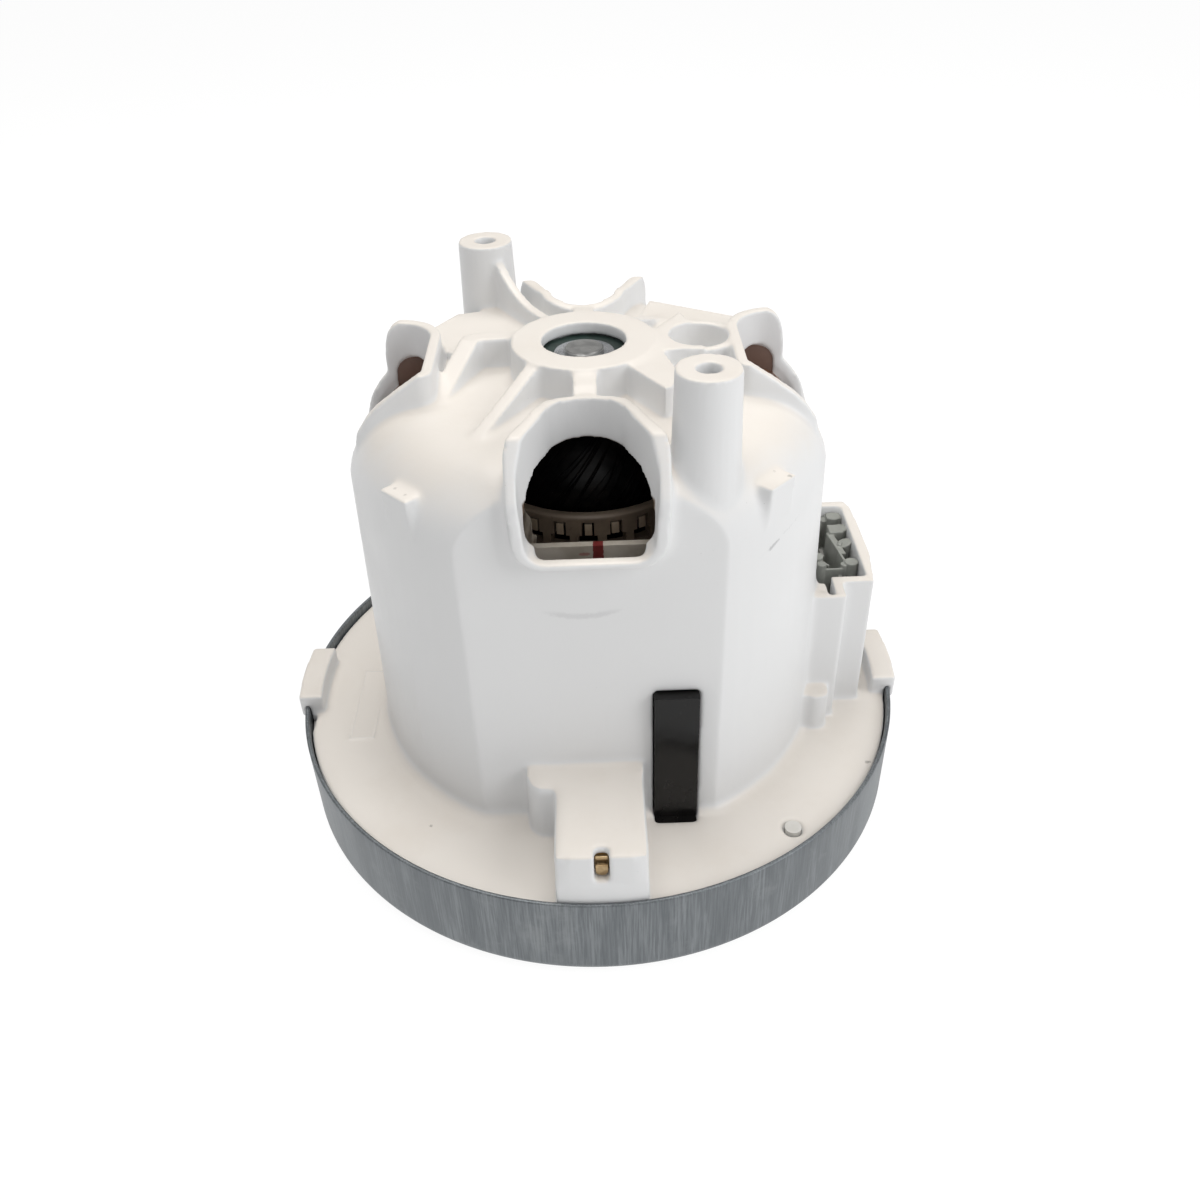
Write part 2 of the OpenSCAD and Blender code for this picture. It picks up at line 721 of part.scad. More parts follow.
module connector_block() {
    x0 = insert_x0;
    x1 = conn_x - conn_t - 0.1;
    y0 = conn_y_front + conn_t + 0.1;
    y1 = conn_y_rear - conn_t - 0.1;
    color("dimgray") difference() {
        union() {
            block([x0, y0, conn_floor_z + seat_gap], [x1, y1, insert_top_z]);
            for (y = well_y) translate([x1 - 2.1, y, conn_floor_z + 1])
                cylinder(h = tower_top_z - conn_floor_z - 1, r = 1.9, $fn = 48);
            for (y = [well_y[0], well_y[3]])
                translate([x0 + 1.6, y, conn_floor_z + 1])
                    cylinder(h = tower_top_z - 1 - conn_floor_z, r = 1.5, $fn = 48);
            block([x0 + 1, well_y[0] - 0.5, conn_floor_z + 1],
                [x1 - 1.5, well_y[0] + 0.5, tower_top_z - 1.4]);
            for (y = [well_y[1], well_y[2]])
                block([x1 - 4.4, y - 0.5, conn_floor_z + 1], [x1 - 1.5, y + 0.5, tower_top_z - 1]);
        }
        for (y = well_y)
            block([well_x[0], y - well_y_near, well_floor_z], [well_x[1], y + well_y_near, conn_top_z + 1]);
    }
}

// Flat contact blades standing in the wells
blade_t = 0.8;
blade_w = 3.2;

module connector_terminals() {
    xm = (well_x[0] + well_x[1]) / 2;
    color("silver") for (y = well_y)
        block([xm - blade_t / 2, y - blade_w / 2, well_floor_z + seat_gap],
            [xm + blade_t / 2, y + blade_w / 2, insert_top_z + blade_t + 0.7]);
}

// Black insert that closes the tall slot
module slot_insert() {
    color("black") union() {
        block([slot_x0, -panel_y_base - 1.2, plate_top - 1.2], [slot_x1, -panel_y_base + 5, slot_z1]);
        block([slot_x0, slot_y, plate_top - 1.2], [slot_x1, -panel_y_base, plate_top - 0.4]);
    }
}

// Brass tube that guides a brush, closed at its outer end
module brush_holder() {
    color("goldenrod") difference() {
        block([-tube_w, -tube_y1, brush_z - tube_h], [tube_w, -tube_y0, brush_z + tube_h]);
        block([-tube_in_w, -tube_y1 + tube_t, brush_z - tube_in_h], [tube_in_w, 0, brush_z + tube_in_h]);
        cylinder(h = 2 * brush_z, r = comm_r + 1.2);
    }
}

module brush_holder_front() {
    brush_holder();
}

module brush_holder_back() {
    rotate([0, 0, 180]) brush_holder();
}

// Carbon brush with a curved end that rides on the commutator
module carbon_brush() {
    color("darkslategray") difference() {
        block([-brush_w / 2, -brush_y1, brush_z - brush_h / 2],
            [brush_w / 2, -comm_r + 1, brush_z + brush_h / 2]);
        cylinder(h = 2 * brush_z, r = comm_r + 0.1);
    }
}

module carbon_brush_front() {
    carbon_brush();
}

module carbon_brush_back() {
    rotate([0, 0, 180]) carbon_brush();
}

// Compression spring behind a brush: one unbroken wire
spring_r = 2.4;
wire_r = 0.35;
curls = 9;
curl_steps = 8;
spring_y0 = brush_y1 + seat_gap + wire_r;
spring_len = spring_y1 - wire_r - spring_y0;
wire_sides = 6;

function spring_point(i) = let (a = 360 * i / curl_steps, t = i / (curls * curl_steps))
    [spring_r * cos(a), -(spring_y0 + spring_len * t), brush_z + spring_r * sin(a)];

function spring_ring(i) = let (a = 360 * i / curl_steps, p = spring_point(i))
    [for (k = [0 : wire_sides - 1]) let (b = 360 * k / wire_sides)
        [p[0] + wire_r * cos(b) * cos(a), p[1] + wire_r * sin(b), p[2] + wire_r * cos(b) * sin(a)]];

module brush_spring() {
    n = curls * curl_steps;
    points = [for (i = [0 : n]) each spring_ring(i)];
    sides = [for (i = [0 : n - 1]) for (k = [0 : wire_sides - 1])
        let (m = (k + 1) % wire_sides, a = i * wire_sides, b = a + wire_sides)
        each [[a + k, a + m, b + m], [a + k, b + m, b + k]]];
    last = n * wire_sides;
    ends = [for (k = [1 : wire_sides - 2]) each [[0, k + 1, k], [last, last + k, last + k + 1]]];
    color("lightgray") polyhedron(points = points, faces = concat(sides, ends));
}

echo(spring_gap_mm = spring_len / curls - 2 * wire_r);

module brush_spring_front() {
    brush_spring();
}

module brush_spring_back() {
    rotate([0, 0, 180]) brush_spring();
}

// Diffuser: a disc with vanes below it and return vanes on top
vane_t = 1.4;
diff_ring_t = 1.3;
vane_z0 = can_t + 0.3;

module vane(r0, r1, turn, z0, z1, n = 6) {
    outer = [for (i = [0 : n]) let (r = r0 + (r1 - r0) * i / n, a = turn * i / n) [r * cos(a), r * sin(a)]];
    inner = [for (i = [n : -1 : 0]) let (r = r0 + (r1 - r0) * i / n, a = turn * i / n)
        [r * cos(a) - vane_t * sin(a + 40), r * sin(a) + vane_t * cos(a + 40)]];
    translate([0, 0, z0]) linear_extrude(z1 - z0) polygon(concat(outer, inner));
}

module diffuser() {
    disc_r = fan_r + 4;
    color("gainsboro") difference() {
        union() {
            tube(disc_r, brg_r + 4, disc_z0, disc_z0 + disc_t);
            tube(plate_r, plate_r - diff_ring_t, can_corner_r + 1, plate_bot - seat_gap);
            for (i = [0 : vane_n - 1]) rotate([0, 0, i * 360 / vane_n]) {
                vane(fan_r + 1.4, plate_r - 0.8, 24, can_corner_r + 1, disc_z0 + 0.3);
                vane(22, disc_r - 1, 42, disc_z0 + disc_t - 0.2, plate_bot - seat_gap);
            }
            for (s = [0, 180]) rotate([0, 0, s]) translate([peg_pos[0], peg_pos[1], 0]) {
                translate([0, 0, can_corner_r + 1])
                    cylinder(h = plate_bot - seat_gap - can_corner_r - 1, r = 3.8);
                translate([0, 0, plate_bot - 1]) cylinder(h = plate_t + 1.3, r = peg_r);
            }
        }
        tube(fan_r + 1, eps, 0, disc_z0 - eps);
    }
}

// Metal bracket that carries the lower bearing
hub_r = brg_r + 3;

module bearing_bracket() {
    color("silver") difference() {
        union() {
            translate([0, 0, plate_bot]) linear_extrude(plate_t) difference() {
                bracket_plan(0);
                circle(r = plate_hole_r - 5);
            }
            for (a = [45 : 90 : 315]) rotate([0, 0, a])
                block([brg_r + 1, -4, plate_bot], [brk_pos * sqrt(2), 4, plate_top]);
            tube(hub_r, brg_r - 1.4, brg_low_z - 0.6, brg_low_z + brg_w + 0.5);
        }
        translate([0, 0, brg_low_z - seat_gap]) cylinder(h = 20, r = brg_r + ring_fit);
        for (a = [45 : 90 : 315]) rotate([0, 0, a]) translate([brk_pos * sqrt(2), 0, plate_bot - 1]) {
            cylinder(h = 10, r = brk_screw_r + 0.3);
            cylinder(h = 2.6, r1 = 4.1, r2 = brk_screw_r + 0.3);
        }
    }
}

module bracket_screws() {
    color("lightgray") for (a = [45 : 90 : 315]) rotate([0, 0, a]) translate([brk_pos * sqrt(2), 0, 0])
        difference() {
            turned([[0, plate_bot], [2.9, plate_bot], [brk_screw_r, plate_bot + 1.4],
                [brk_screw_r, plate_top + 8], [0, plate_top + 9]]);
            block([-2, -0.4, plate_bot - 1], [2, 0.4, plate_bot + 0.7]);
        }
}

// Deep groove ball bearings, both of one size
module bearing_groove() {
    rotate_extrude() translate([brg_pitch_r, brg_w / 2]) circle(r = groove_r, $fn = 48);
}

module outer_ring() {
    color("silver") difference() {
        turned([[brg_outer_in_r, 0], [brg_r - 0.3, 0], [brg_r, 0.3], [brg_r, brg_w - 0.3],
            [brg_r - 0.3, brg_w], [brg_outer_in_r, brg_w]]);
        bearing_groove();
        tube(brg_outer_in_r + 0.5, brg_outer_in_r - 1, brg_w - 0.75, brg_w + 1);
        tube(brg_outer_in_r + 0.5, brg_outer_in_r - 1, -1, 0.75);
    }
}

module inner_ring() {
    color("silver") difference() {
        tube(brg_inner_r, shaft_r + ring_fit, 0, brg_w);
        bearing_groove();
    }
}

module balls() {
    color("gainsboro") for (i = [0 : ball_n - 1]) rotate([0, 0, i * 360 / ball_n])
        translate([brg_pitch_r, 0, brg_w / 2]) sphere(r = ball_r, $fn = 48);
}

module cage() {
    color("peru") difference() {
        tube(brg_pitch_r + cage_half_t, brg_pitch_r - cage_half_t,
            brg_w / 2 - cage_low, brg_w / 2 + cage_high);
        for (i = [0 : ball_n - 1]) rotate([0, 0, i * 360 / ball_n])
            translate([brg_pitch_r, 0, brg_w / 2]) sphere(r = ball_r + 0.12, $fn = 48);
    }
}

// Seals snapped in the outer ring, one on each side
module seals() {
    color("darkslategray") {
        tube(brg_outer_in_r + 0.45, brg_inner_r + 0.15, brg_w - 0.7, brg_w - 0.15);
        tube(brg_outer_in_r + 0.45, brg_inner_r + 0.15, 0.15, 0.7);
    }
}

module at_upper() {
    translate([0, 0, brg_up_z]) children();
}

module at_lower() {
    translate([0, 0, brg_low_z]) children();
}

module upper_bearing_outer_ring() {
    at_upper() outer_ring();
}

module upper_bearing_seal() {
    at_upper() seals();
}

module upper_bearing_balls() {
    at_upper() balls();
}

module upper_bearing_cage() {
    at_upper() cage();
}

module upper_bearing_inner_ring() {
    at_upper() inner_ring();
}

module lower_bearing_outer_ring() {
    at_lower() outer_ring();
}

module lower_bearing_seal() {
    at_lower() seals();
}

module lower_bearing_balls() {
    at_lower() balls();
}

module lower_bearing_cage() {
    at_lower() cage();
}

module lower_bearing_inner_ring() {
    at_lower() inner_ring();
}

// Stator
yoke_x = stator_r - 9;
yoke_y = stator_flat - 10.5;
yoke_r = stator_r - 3.8;
pole_y = 12.6;
shoe_r = bore_r + 3.8;

module stator_plan() {
    difference() {
        union() {
            difference() {
                intersection() {
                    circle(r = stator_r);
                    square([2 * stator_r, 2 * stator_flat], center = true);
                }
                intersection() {
                    square([2 * yoke_x, 2 * yoke_y], center = true);
                    circle(r = yoke_r);
                }
            }
            intersection() {
                square([2 * yoke_x + 2, 2 * pole_y], center = true);
                circle(r = stator_r);
            }
            intersection() {
                circle(r = shoe_r);
                for (s = [0, 180]) rotate(s) polygon([[0, 0], [40, -46], [40, 46]]);
            }
        }
        circle(r = bore_r);
        for (s = [0, 180]) rotate(s) translate(st_pos) circle(r = st_screw_r + 0.1);
    }
}

module stator_core() {
    color("gray") translate([0, 0, arm_z0]) linear_extrude(arm_len) stator_plan();
}

module stator_screws() {
    color("lightgray") front_and_rear() translate([st_pos[0], st_pos[1], 0]) {
        translate([0, 0, arm_z0 - 3.2]) difference() {
            cylinder(h = 3.2 - seat_gap, r = 3.6);
            cylinder(h = 3.2, r = 1.9, $fn = 6);
        }
        translate([0, 0, arm_z0 - 1]) cylinder(h = arm_len + 16, r = st_screw_r);
    }
}

// Field coil: two legs through the slots and a bowed end above and below
coil_in_r = 26.6;
coil_out_r = stator_r + 0.4;
coil_half_a = 47;
coil_top_z = arm_z1 + 23.1;
coil_bot_z = arm_z0 - 12.3;

module coil_sector() {
    polygon([[0, 0], [60, -60 * tan(coil_half_a)], [60, 60 * tan(coil_half_a)]]);
}

module field_coil() {
    e = 1.6;
    z0 = arm_z1 + e;
    z1 = arm_z0 - e;
    color("saddlebrown") {
        intersection() {
            union() {
                turned(concat([[coil_in_r, z0], [coil_out_r - 2, z0]],
                    arc(coil_out_r - 4, coil_top_z - 4, 4, 0, 90, 6),
                    arc(coil_in_r + 6, coil_top_z - 6, 6, 90, 180, 8)));
                turned(concat([[coil_out_r - 2, z1], [coil_in_r, z1]],
                    arc(coil_in_r + 5, coil_bot_z + 5, 5, 180, 270, 8),
                    arc(coil_out_r - 7, coil_bot_z + 5, 5, 270, 360, 8)));
            }
            linear_extrude(dome_z) coil_sector();
        }
        for (s = [-1, 1]) block([coil_in_r + 1, s > 0 ? pole_y + 1 : -pole_y - 7.4, z1 - 1],
            [yoke_x - 0.8, s > 0 ? pole_y + 7.4 : -pole_y - 1, z0 + 1]);
    }
}

module field_coil_right() {
    field_coil();
}

module field_coil_left() {
    rotate([0, 0, 180]) field_coil();
}

// Moulded insulators on both ends of the stator, with a straight flange at the front and the rear
flange_y = stator_flat - 9;
flange_t = 1.6;
flange_top_z = arm_z1 + 7;

module insulator_plan() {
    intersection() {
        difference() {
            square([2 * yoke_x - 4, 2 * flange_y], center = true);
            circle(r = bore_r + 0.2);
            for (s = [-1, 1]) for (t = [-1, 1])
                translate([s * 30.6 - 4.6, t > 0 ? pole_y + 0.4 : -pole_y - 8.4]) square([9.2, 8]);
        }
        circle(r = stator_r - 3);
    }
}

module stator_insulator_top() {
    color("cornsilk") {
        translate([0, 0, arm_z1 + seat_gap]) linear_extrude(1.2) insulator_plan();
        for (s = [0, 180]) rotate([0, 0, s])
            block([-12.4, -flange_y, arm_z1 + seat_gap], [12.4, -flange_y + flange_t, flange_top_z]);
    }
}

module stator_insulator_bottom() {
    color("cornsilk") translate([0, 0, arm_z0 - seat_gap - 1.2]) linear_extrude(1.2) insulator_plan();
}

// Brown ring round the armature's upper winding, with square gates and a tongue in a slot above each
crown_in_r = 21.7;
crown_r = 23.8;
crown_top_z = wind_seat_z + 8.2;
hook_n = 26;
hook_turn = -91.1;
gate_half = 1.98;
gate_low = crown_top_z - 6.95;
gate_high = crown_top_z - 4.5;
slot_half = 1.25;
slot_high = crown_top_z - 1.45;
tongue_half = 0.76;
tongue_t = 0.65;

module winding_ring() {
    color("tan") difference() {
        tube(crown_r, crown_in_r, wind_seat_z, crown_top_z);
        for (i = [0 : hook_n - 1]) rotate([0, 0, hook_turn + i * 360 / hook_n]) {
            block([crown_in_r - 1, -gate_half, gate_low], [crown_r + 1, gate_half, gate_high]);
            difference() {
                block([crown_in_r - 1, -slot_half, gate_high - over], [crown_r + 1, slot_half, slot_high]);
                block([crown_r - tongue_t, -tongue_half, gate_low], [crown_r + 2, tongue_half, crown_top_z]);
            }
        }
    }
}

// Shaft with chamfered ends
shaft_bot_z = 5.4;

module shaft() {
    c = 0.3;
    color("silver") turned([[0, shaft_bot_z], [shaft_r - c, shaft_bot_z], [shaft_r, shaft_bot_z + c],
        [shaft_r, shaft_top_z - c], [shaft_r - c, shaft_top_z], [0, shaft_top_z]]);
}

module armature_core() {
    color("dimgray") translate([0, 0, arm_z0]) linear_extrude(arm_len) difference() {
        circle(r = arm_r);
        circle(r = shaft_r + ring_fit);
        for (i = [0 : arm_slots - 1]) rotate(i * 360 / arm_slots) {
            translate([arm_r - 4, 0]) circle(r = 2.6, $fn = 32);
            translate([arm_r - 6.4, 0]) circle(r = 1.9, $fn = 32);
            translate([arm_r - 4, -0.9]) square([6, 1.8]);
        }
    }
}

// Varnished winding ends of the armature
wind_top_z = arm_z1 + 24.5;

module armature_winding_top() {
    z = arm_z1 + seat_gap;
    color("black") turned(concat([[shaft_r + ring_fit, z], [arm_r - 1.2, z]],
        arc(arm_r - 9.5, z + 11.5, 9, -40, 40, 6),
        [[13.4, wind_top_z - 2], [9, wind_top_z - 0.4], [shaft_r + ring_fit, wind_top_z]]));
}

module armature_winding_bottom() {
    z = arm_z0 - seat_gap;
    color("black") turned(concat([[shaft_r + ring_fit, comm_z1 + 0.4], [comm_r + 0.6, comm_z1 + 0.4]],
        arc(arm_r - 7, z - 5, 5, -60, 60, 6), [[arm_r - 4, z], [shaft_r + ring_fit, z]]));
}

module commutator_bars() {
    r0 = comm_r - 2.6;
    color("peru") difference() {
        union() {
            tube(comm_r, r0, comm_z0, comm_z1);
            tube(comm_r + 1, r0, comm_z1 - 1.8, comm_z1);
        }
        for (i = [0 : comm_bars - 1]) rotate([0, 0, (i + 0.5) * 360 / comm_bars])
            block([r0 - 1, -0.25, comm_z0 - 1], [comm_r + 2, 0.25, comm_z1 + 1]);
    }
}

module commutator_hub() {
    color("black") tube(comm_r - 2.62, shaft_r + ring_fit, brg_low_z + brg_w, comm_z1);
}

module shaft_spacer() {
    color("silver") tube(brg_inner_r - 0.2, shaft_r + ring_fit, fan_plate_top, brg_low_z);
}

// Impeller: back plate, blades and shroud in sheet metal
shroud_eye_r = eye_d / 2 + can_t + 1;
shroud_z0 = can_floor + 0.6;
shroud_edge_z = fan_plate_bot - fan_edge_h - fan_t;
shroud_mid_r = 34;

function shroud_line(dz) = [[shroud_eye_r, shroud_z0 + dz], [shroud_eye_r + 3, shroud_z0 + dz],
    [shroud_mid_r, shroud_z0 + 0.7 + dz], [fan_r, shroud_edge_z + dz]];

module impeller_back_plate() {
    color("silver") tube(fan_r, shaft_r + ring_fit, fan_plate_bot, fan_plate_top);
}

module impeller_shroud() {
    line = shroud_line(0);
    top = shroud_line(fan_t);
    color("silver") turned(concat(line, [for (i = [3 : -1 : 0]) top[i]]));
}

module impeller_blades() {
    n = 8;
    r0 = shroud_eye_r + 1;
    r1 = fan_r - 0.5;
    sweep = -62;
    t = 1;
    line = shroud_line(fan_t + eps);
    side_a = [for (i = [0 : n]) let (r = r0 + (r1 - r0) * i / n, a = sweep * i / n) [r * cos(a), r * sin(a)]];
    side_b = [for (i = [n : -1 : 0]) let (r = r0 + (r1 - r0) * i / n, a = sweep * i / n)
        [r * cos(a) + t * cos(a + 40), r * sin(a) + t * sin(a + 40)]];
    color("silver") intersection() {
        for (i = [0 : fan_blades - 1]) rotate([0, 0, i * 360 / fan_blades])
            linear_extrude(fan_plate_bot - eps) polygon(concat(side_a, side_b));
        turned(concat(line, [[fan_r, fan_plate_bot - eps], [shroud_eye_r, fan_plate_bot - eps]]));
    }
}

nut_h = 4;
washer_t = 1;
washer_r = 9;
nut_r = 7.5;

module impeller_washer() {
    color("silver") tube(washer_r, shaft_r + ring_fit, fan_plate_bot - washer_t, fan_plate_bot);
}

module shaft_nut() {
    color("silver") translate([0, 0, fan_plate_bot - washer_t - nut_h]) difference() {
        cylinder(h = nut_h, r = nut_r, $fn = 6);
        translate([0, 0, -1]) cylinder(h = nut_h + 2, r = shaft_r + ring_fit);
    }
}

motor_housing();
fan_can();
connector_block();
connector_terminals();
slot_insert();
brush_holder_front();
brush_holder_back();
brush_spring_front();
brush_spring_back();
carbon_brush_front();
carbon_brush_back();
diffuser();
bearing_bracket();
bracket_screws();
upper_bearing_outer_ring();
upper_bearing_seal();
upper_bearing_balls();
upper_bearing_cage();
upper_bearing_inner_ring();
lower_bearing_outer_ring();
lower_bearing_seal();
lower_bearing_balls();
lower_bearing_cage();
lower_bearing_inner_ring();
stator_core();
stator_screws();
field_coil_left();
field_coil_right();
stator_insulator_top();
stator_insulator_bottom();
winding_ring();
shaft();
armature_core();
armature_winding_top();
armature_winding_bottom();
commutator_bars();
commutator_hub();
shaft_spacer();
impeller_back_plate();
impeller_blades();
impeller_shroud();
impeller_washer();
shaft_nut();
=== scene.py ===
# Vacuum motor unit: looks for the imported frame. Shapes are drawn in mm and made in metres with MM.
# Shaders, masks, the voxels of the housing and the lights are in metres.
import json
import math

import bmesh
import bpy
import numpy as np
from mathutils import Matrix, Vector


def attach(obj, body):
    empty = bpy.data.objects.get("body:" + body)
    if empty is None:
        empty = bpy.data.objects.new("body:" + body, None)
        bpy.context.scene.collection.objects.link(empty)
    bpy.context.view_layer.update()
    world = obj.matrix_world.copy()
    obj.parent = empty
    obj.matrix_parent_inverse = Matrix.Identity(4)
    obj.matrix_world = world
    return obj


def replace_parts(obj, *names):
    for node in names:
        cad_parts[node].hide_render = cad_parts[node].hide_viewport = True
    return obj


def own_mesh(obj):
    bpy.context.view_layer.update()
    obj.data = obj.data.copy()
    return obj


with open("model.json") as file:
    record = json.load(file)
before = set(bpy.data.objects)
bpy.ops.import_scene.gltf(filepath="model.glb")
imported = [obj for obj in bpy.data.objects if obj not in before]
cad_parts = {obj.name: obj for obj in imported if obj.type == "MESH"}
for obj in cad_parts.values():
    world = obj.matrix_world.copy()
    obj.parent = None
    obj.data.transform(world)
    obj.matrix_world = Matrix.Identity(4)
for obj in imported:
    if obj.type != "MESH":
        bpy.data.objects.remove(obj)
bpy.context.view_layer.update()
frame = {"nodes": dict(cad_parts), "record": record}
NODES = frame["nodes"]
MM = 0.001
RNG = np.random.default_rng(7)

# ---------------------------------------------------------------- camera
# Place, tilt below level and roll in degrees, and lens, solved from the photograph
CAM_POS_MM = (1.45, -206.49, 196.37)
CAM_TILT = 36.465
CAM_ROLL = -1.995
SENSOR_MM = 36.0
FOCAL_MM = 32.42


def make_camera():
    """The camera that took the photograph."""
    data = bpy.data.cameras.new("camera")
    data.sensor_width = SENSOR_MM
    data.lens = FOCAL_MM
    data.clip_start = 0.01
    cam = bpy.data.objects.new("camera", data)
    bpy.context.scene.collection.objects.link(cam)
    tilt = Matrix.Rotation(math.radians(90 - CAM_TILT), 4, "X")
    roll = Matrix.Rotation(math.radians(CAM_ROLL), 4, "Z")
    cam.matrix_world = Matrix.Translation(Vector(CAM_POS_MM) * MM) @ tilt @ roll
    bpy.context.scene.camera = cam


make_camera()


# ---------------------------------------------------------------- shader helper
class Shader:
    """A Principled material and short calls for its texture nodes."""

    def __init__(self, name, **fixed):
        self.mat = bpy.data.materials.new(name)
        self.mat.use_nodes = True
        self.tree = self.mat.node_tree
        self.bsdf = self.tree.nodes["Principled BSDF"]
        for key, value in fixed.items():
            self.bsdf.inputs[key.replace("_", " ")].default_value = value
        self.pos = self.add("ShaderNodeTexCoord").outputs["Object"]

    def add(self, kind, inputs=None, **props):
        """A node whose inputs are values or links from other nodes."""
        node = self.tree.nodes.new(kind)
        for key, value in props.items():
            setattr(node, key, value)
        for key, value in (inputs or {}).items():
            if isinstance(value, bpy.types.NodeSocket):
                self.tree.links.new(value, node.inputs[key])
            else:
                node.inputs[key].default_value = value
        return node

    def out(self, socket, name):
        """Links a value to an input of the material itself."""
        self.tree.links.new(socket, self.bsdf.inputs[name])

    def stretched(self, sx, sy, sz):
        """The position with its axes scaled, which draws textures out along the small ones."""
        node = self.add("ShaderNodeMapping", {"Vector": self.pos, "Scale": (sx, sy, sz)})
        return node.outputs[0]

    def noise(self, scale, detail=3.0, rough=0.5, vec=None):
        inputs = {"Vector": vec or self.pos, "Scale": scale, "Detail": detail, "Roughness": rough}
        return self.add("ShaderNodeTexNoise", inputs).outputs["Fac"]

    def voronoi(self, scale):
        return self.add("ShaderNodeTexVoronoi", {"Vector": self.pos, "Scale": scale}).outputs["Distance"]

    def math(self, op, a, b=0.0):
        return self.add("ShaderNodeMath", {0: a, 1: b}, operation=op).outputs[0]

    def times(self, a, b):
        return self.math("MULTIPLY", a, b)

    def plus(self, a, b):
        return self.math("ADD", a, b)

    def minus(self, a, b):
        return self.math("SUBTRACT", a, b)

    def smooth(self, value, lo, hi, out_lo=0.0, out_hi=1.0):
        """A soft step of the value from lo to hi, which may run either way."""
        inputs = {"Value": value, "From Min": lo, "From Max": hi, "To Min": out_lo, "To Max": out_hi}
        return self.add("ShaderNodeMapRange", inputs, interpolation_type="SMOOTHSTEP").outputs[0]

    def mix(self, fac, a, b):
        """A colour between a at 0 and b at 1."""
        node = self.add("ShaderNodeMix", data_type="RGBA")
        for index, value in ((0, fac), (6, a), (7, b)):
            if isinstance(value, bpy.types.NodeSocket):
                self.tree.links.new(value, node.inputs[index])
            else:
                node.inputs[index].default_value = value if index == 0 else (*value, 1.0)[:4]
        return node.outputs[2]

    def xyz(self):
        return tuple(self.add("ShaderNodeSeparateXYZ", {0: self.pos}).outputs)

    def radius(self, x, y):
        """Length of (x, y): the distance from the shaft axis where both are coordinates."""
        return self.math("POWER", self.plus(self.times(x, x), self.times(y, y)), 0.5)

    def upness(self):
        """The upward part of the surface's direction."""
        normal = self.add("ShaderNodeNewGeometry").outputs["Normal"]
        return self.add("ShaderNodeSeparateXYZ", {0: normal}).outputs[2]

    def bump(self, height, distance, strength):
        inputs = {"Height": height, "Distance": distance, "Strength": strength}
        return self.add("ShaderNodeBump", inputs).outputs[0]


def dist_to(sh, centre_mm, scale=(1.0, 1.0, 1.0)):
    """Distance from a point given in mm, in metres, with axes weighted."""
    centre = tuple(v * MM for v in centre_mm)
    sub = sh.add("ShaderNodeVectorMath", {0: sh.pos, 1: centre}, operation="SUBTRACT")
    mul = sh.add("ShaderNodeVectorMath", {0: sub.outputs[0], 1: scale}, operation="MULTIPLY")
    return sh.add("ShaderNodeVectorMath", {0: mul.outputs[0]}, operation="LENGTH").outputs["Value"]


def dist_to_line(sh, a_mm, b_mm):
    """Distance from a straight segment given in mm, in metres."""
    a, b = Vector(a_mm) * MM, Vector(b_mm) * MM
    d = (b - a).normalized()
    rel = sh.add("ShaderNodeVectorMath", {0: sh.pos, 1: tuple(a)}, operation="SUBTRACT").outputs[0]
    along = sh.add("ShaderNodeVectorMath", {0: rel, 1: tuple(d)}, operation="DOT_PRODUCT").outputs["Value"]
    held = sh.add("ShaderNodeClamp", {0: along, 1: 0.0, 2: (b - a).length}).outputs[0]
    foot = sh.add("ShaderNodeVectorMath", {0: tuple(d)}, operation="SCALE")
    sh.tree.links.new(held, foot.inputs["Scale"])
    gap = sh.add("ShaderNodeVectorMath", {0: rel, 1: foot.outputs[0]}, operation="SUBTRACT").outputs[0]
    return sh.add("ShaderNodeVectorMath", {0: gap}, operation="LENGTH").outputs["Value"]


# ---------------------------------------------------------------- materials
# Rounded ring that the dome's inner faces stay within, which bounds the painted inner shade: its radius about
# the axis, height and thickness
DOME_RING_R, DOME_RING_Z, DOME_INSIDE = 0.0337, 0.0858, 0.0143
RUB_CENTRE_MM, RUB_R = (-1.8, -44.3, 78.6), 0.0062


def marks(sh, color, y, z):
    """Scuffs, specks and the arc-shaped rub that the photograph shows on the plastic."""
    ragged = sh.times(sh.minus(sh.noise(1300, 3, 0.7), 0.5), 0.0011)
    for k, (a, b) in enumerate(SCUFF_LINES_MM):
        mark = sh.smooth(sh.plus(dist_to_line(sh, a, b), ragged), 0.00055, 0.0001)
        broken = sh.smooth(sh.noise(270 + 20 * k, 1), 0.47, 0.6)
        color = sh.mix(sh.times(sh.times(mark, broken), 0.5), color, (0.26, 0.26, 0.27))
    for centre, radius, depth in SPECKS_MM:
        spot = sh.smooth(sh.plus(dist_to(sh, centre), ragged), radius * MM, radius * MM * 0.3)
        color = sh.mix(sh.times(spot, depth), color, (0.22, 0.2, 0.18))
    arc = sh.math("ABSOLUTE", sh.minus(dist_to(sh, RUB_CENTRE_MM, (0.62, 0.0, 1.0)), RUB_R))
    low_front = sh.times(sh.smooth(z, 0.0742, 0.0728), sh.smooth(y, -0.040, -0.042))
    rubbed = sh.times(sh.smooth(sh.plus(arc, ragged), 0.0009, 0.0002), low_front)
    return sh.mix(sh.times(rubbed, 0.3), color, (0.45, 0.45, 0.46))


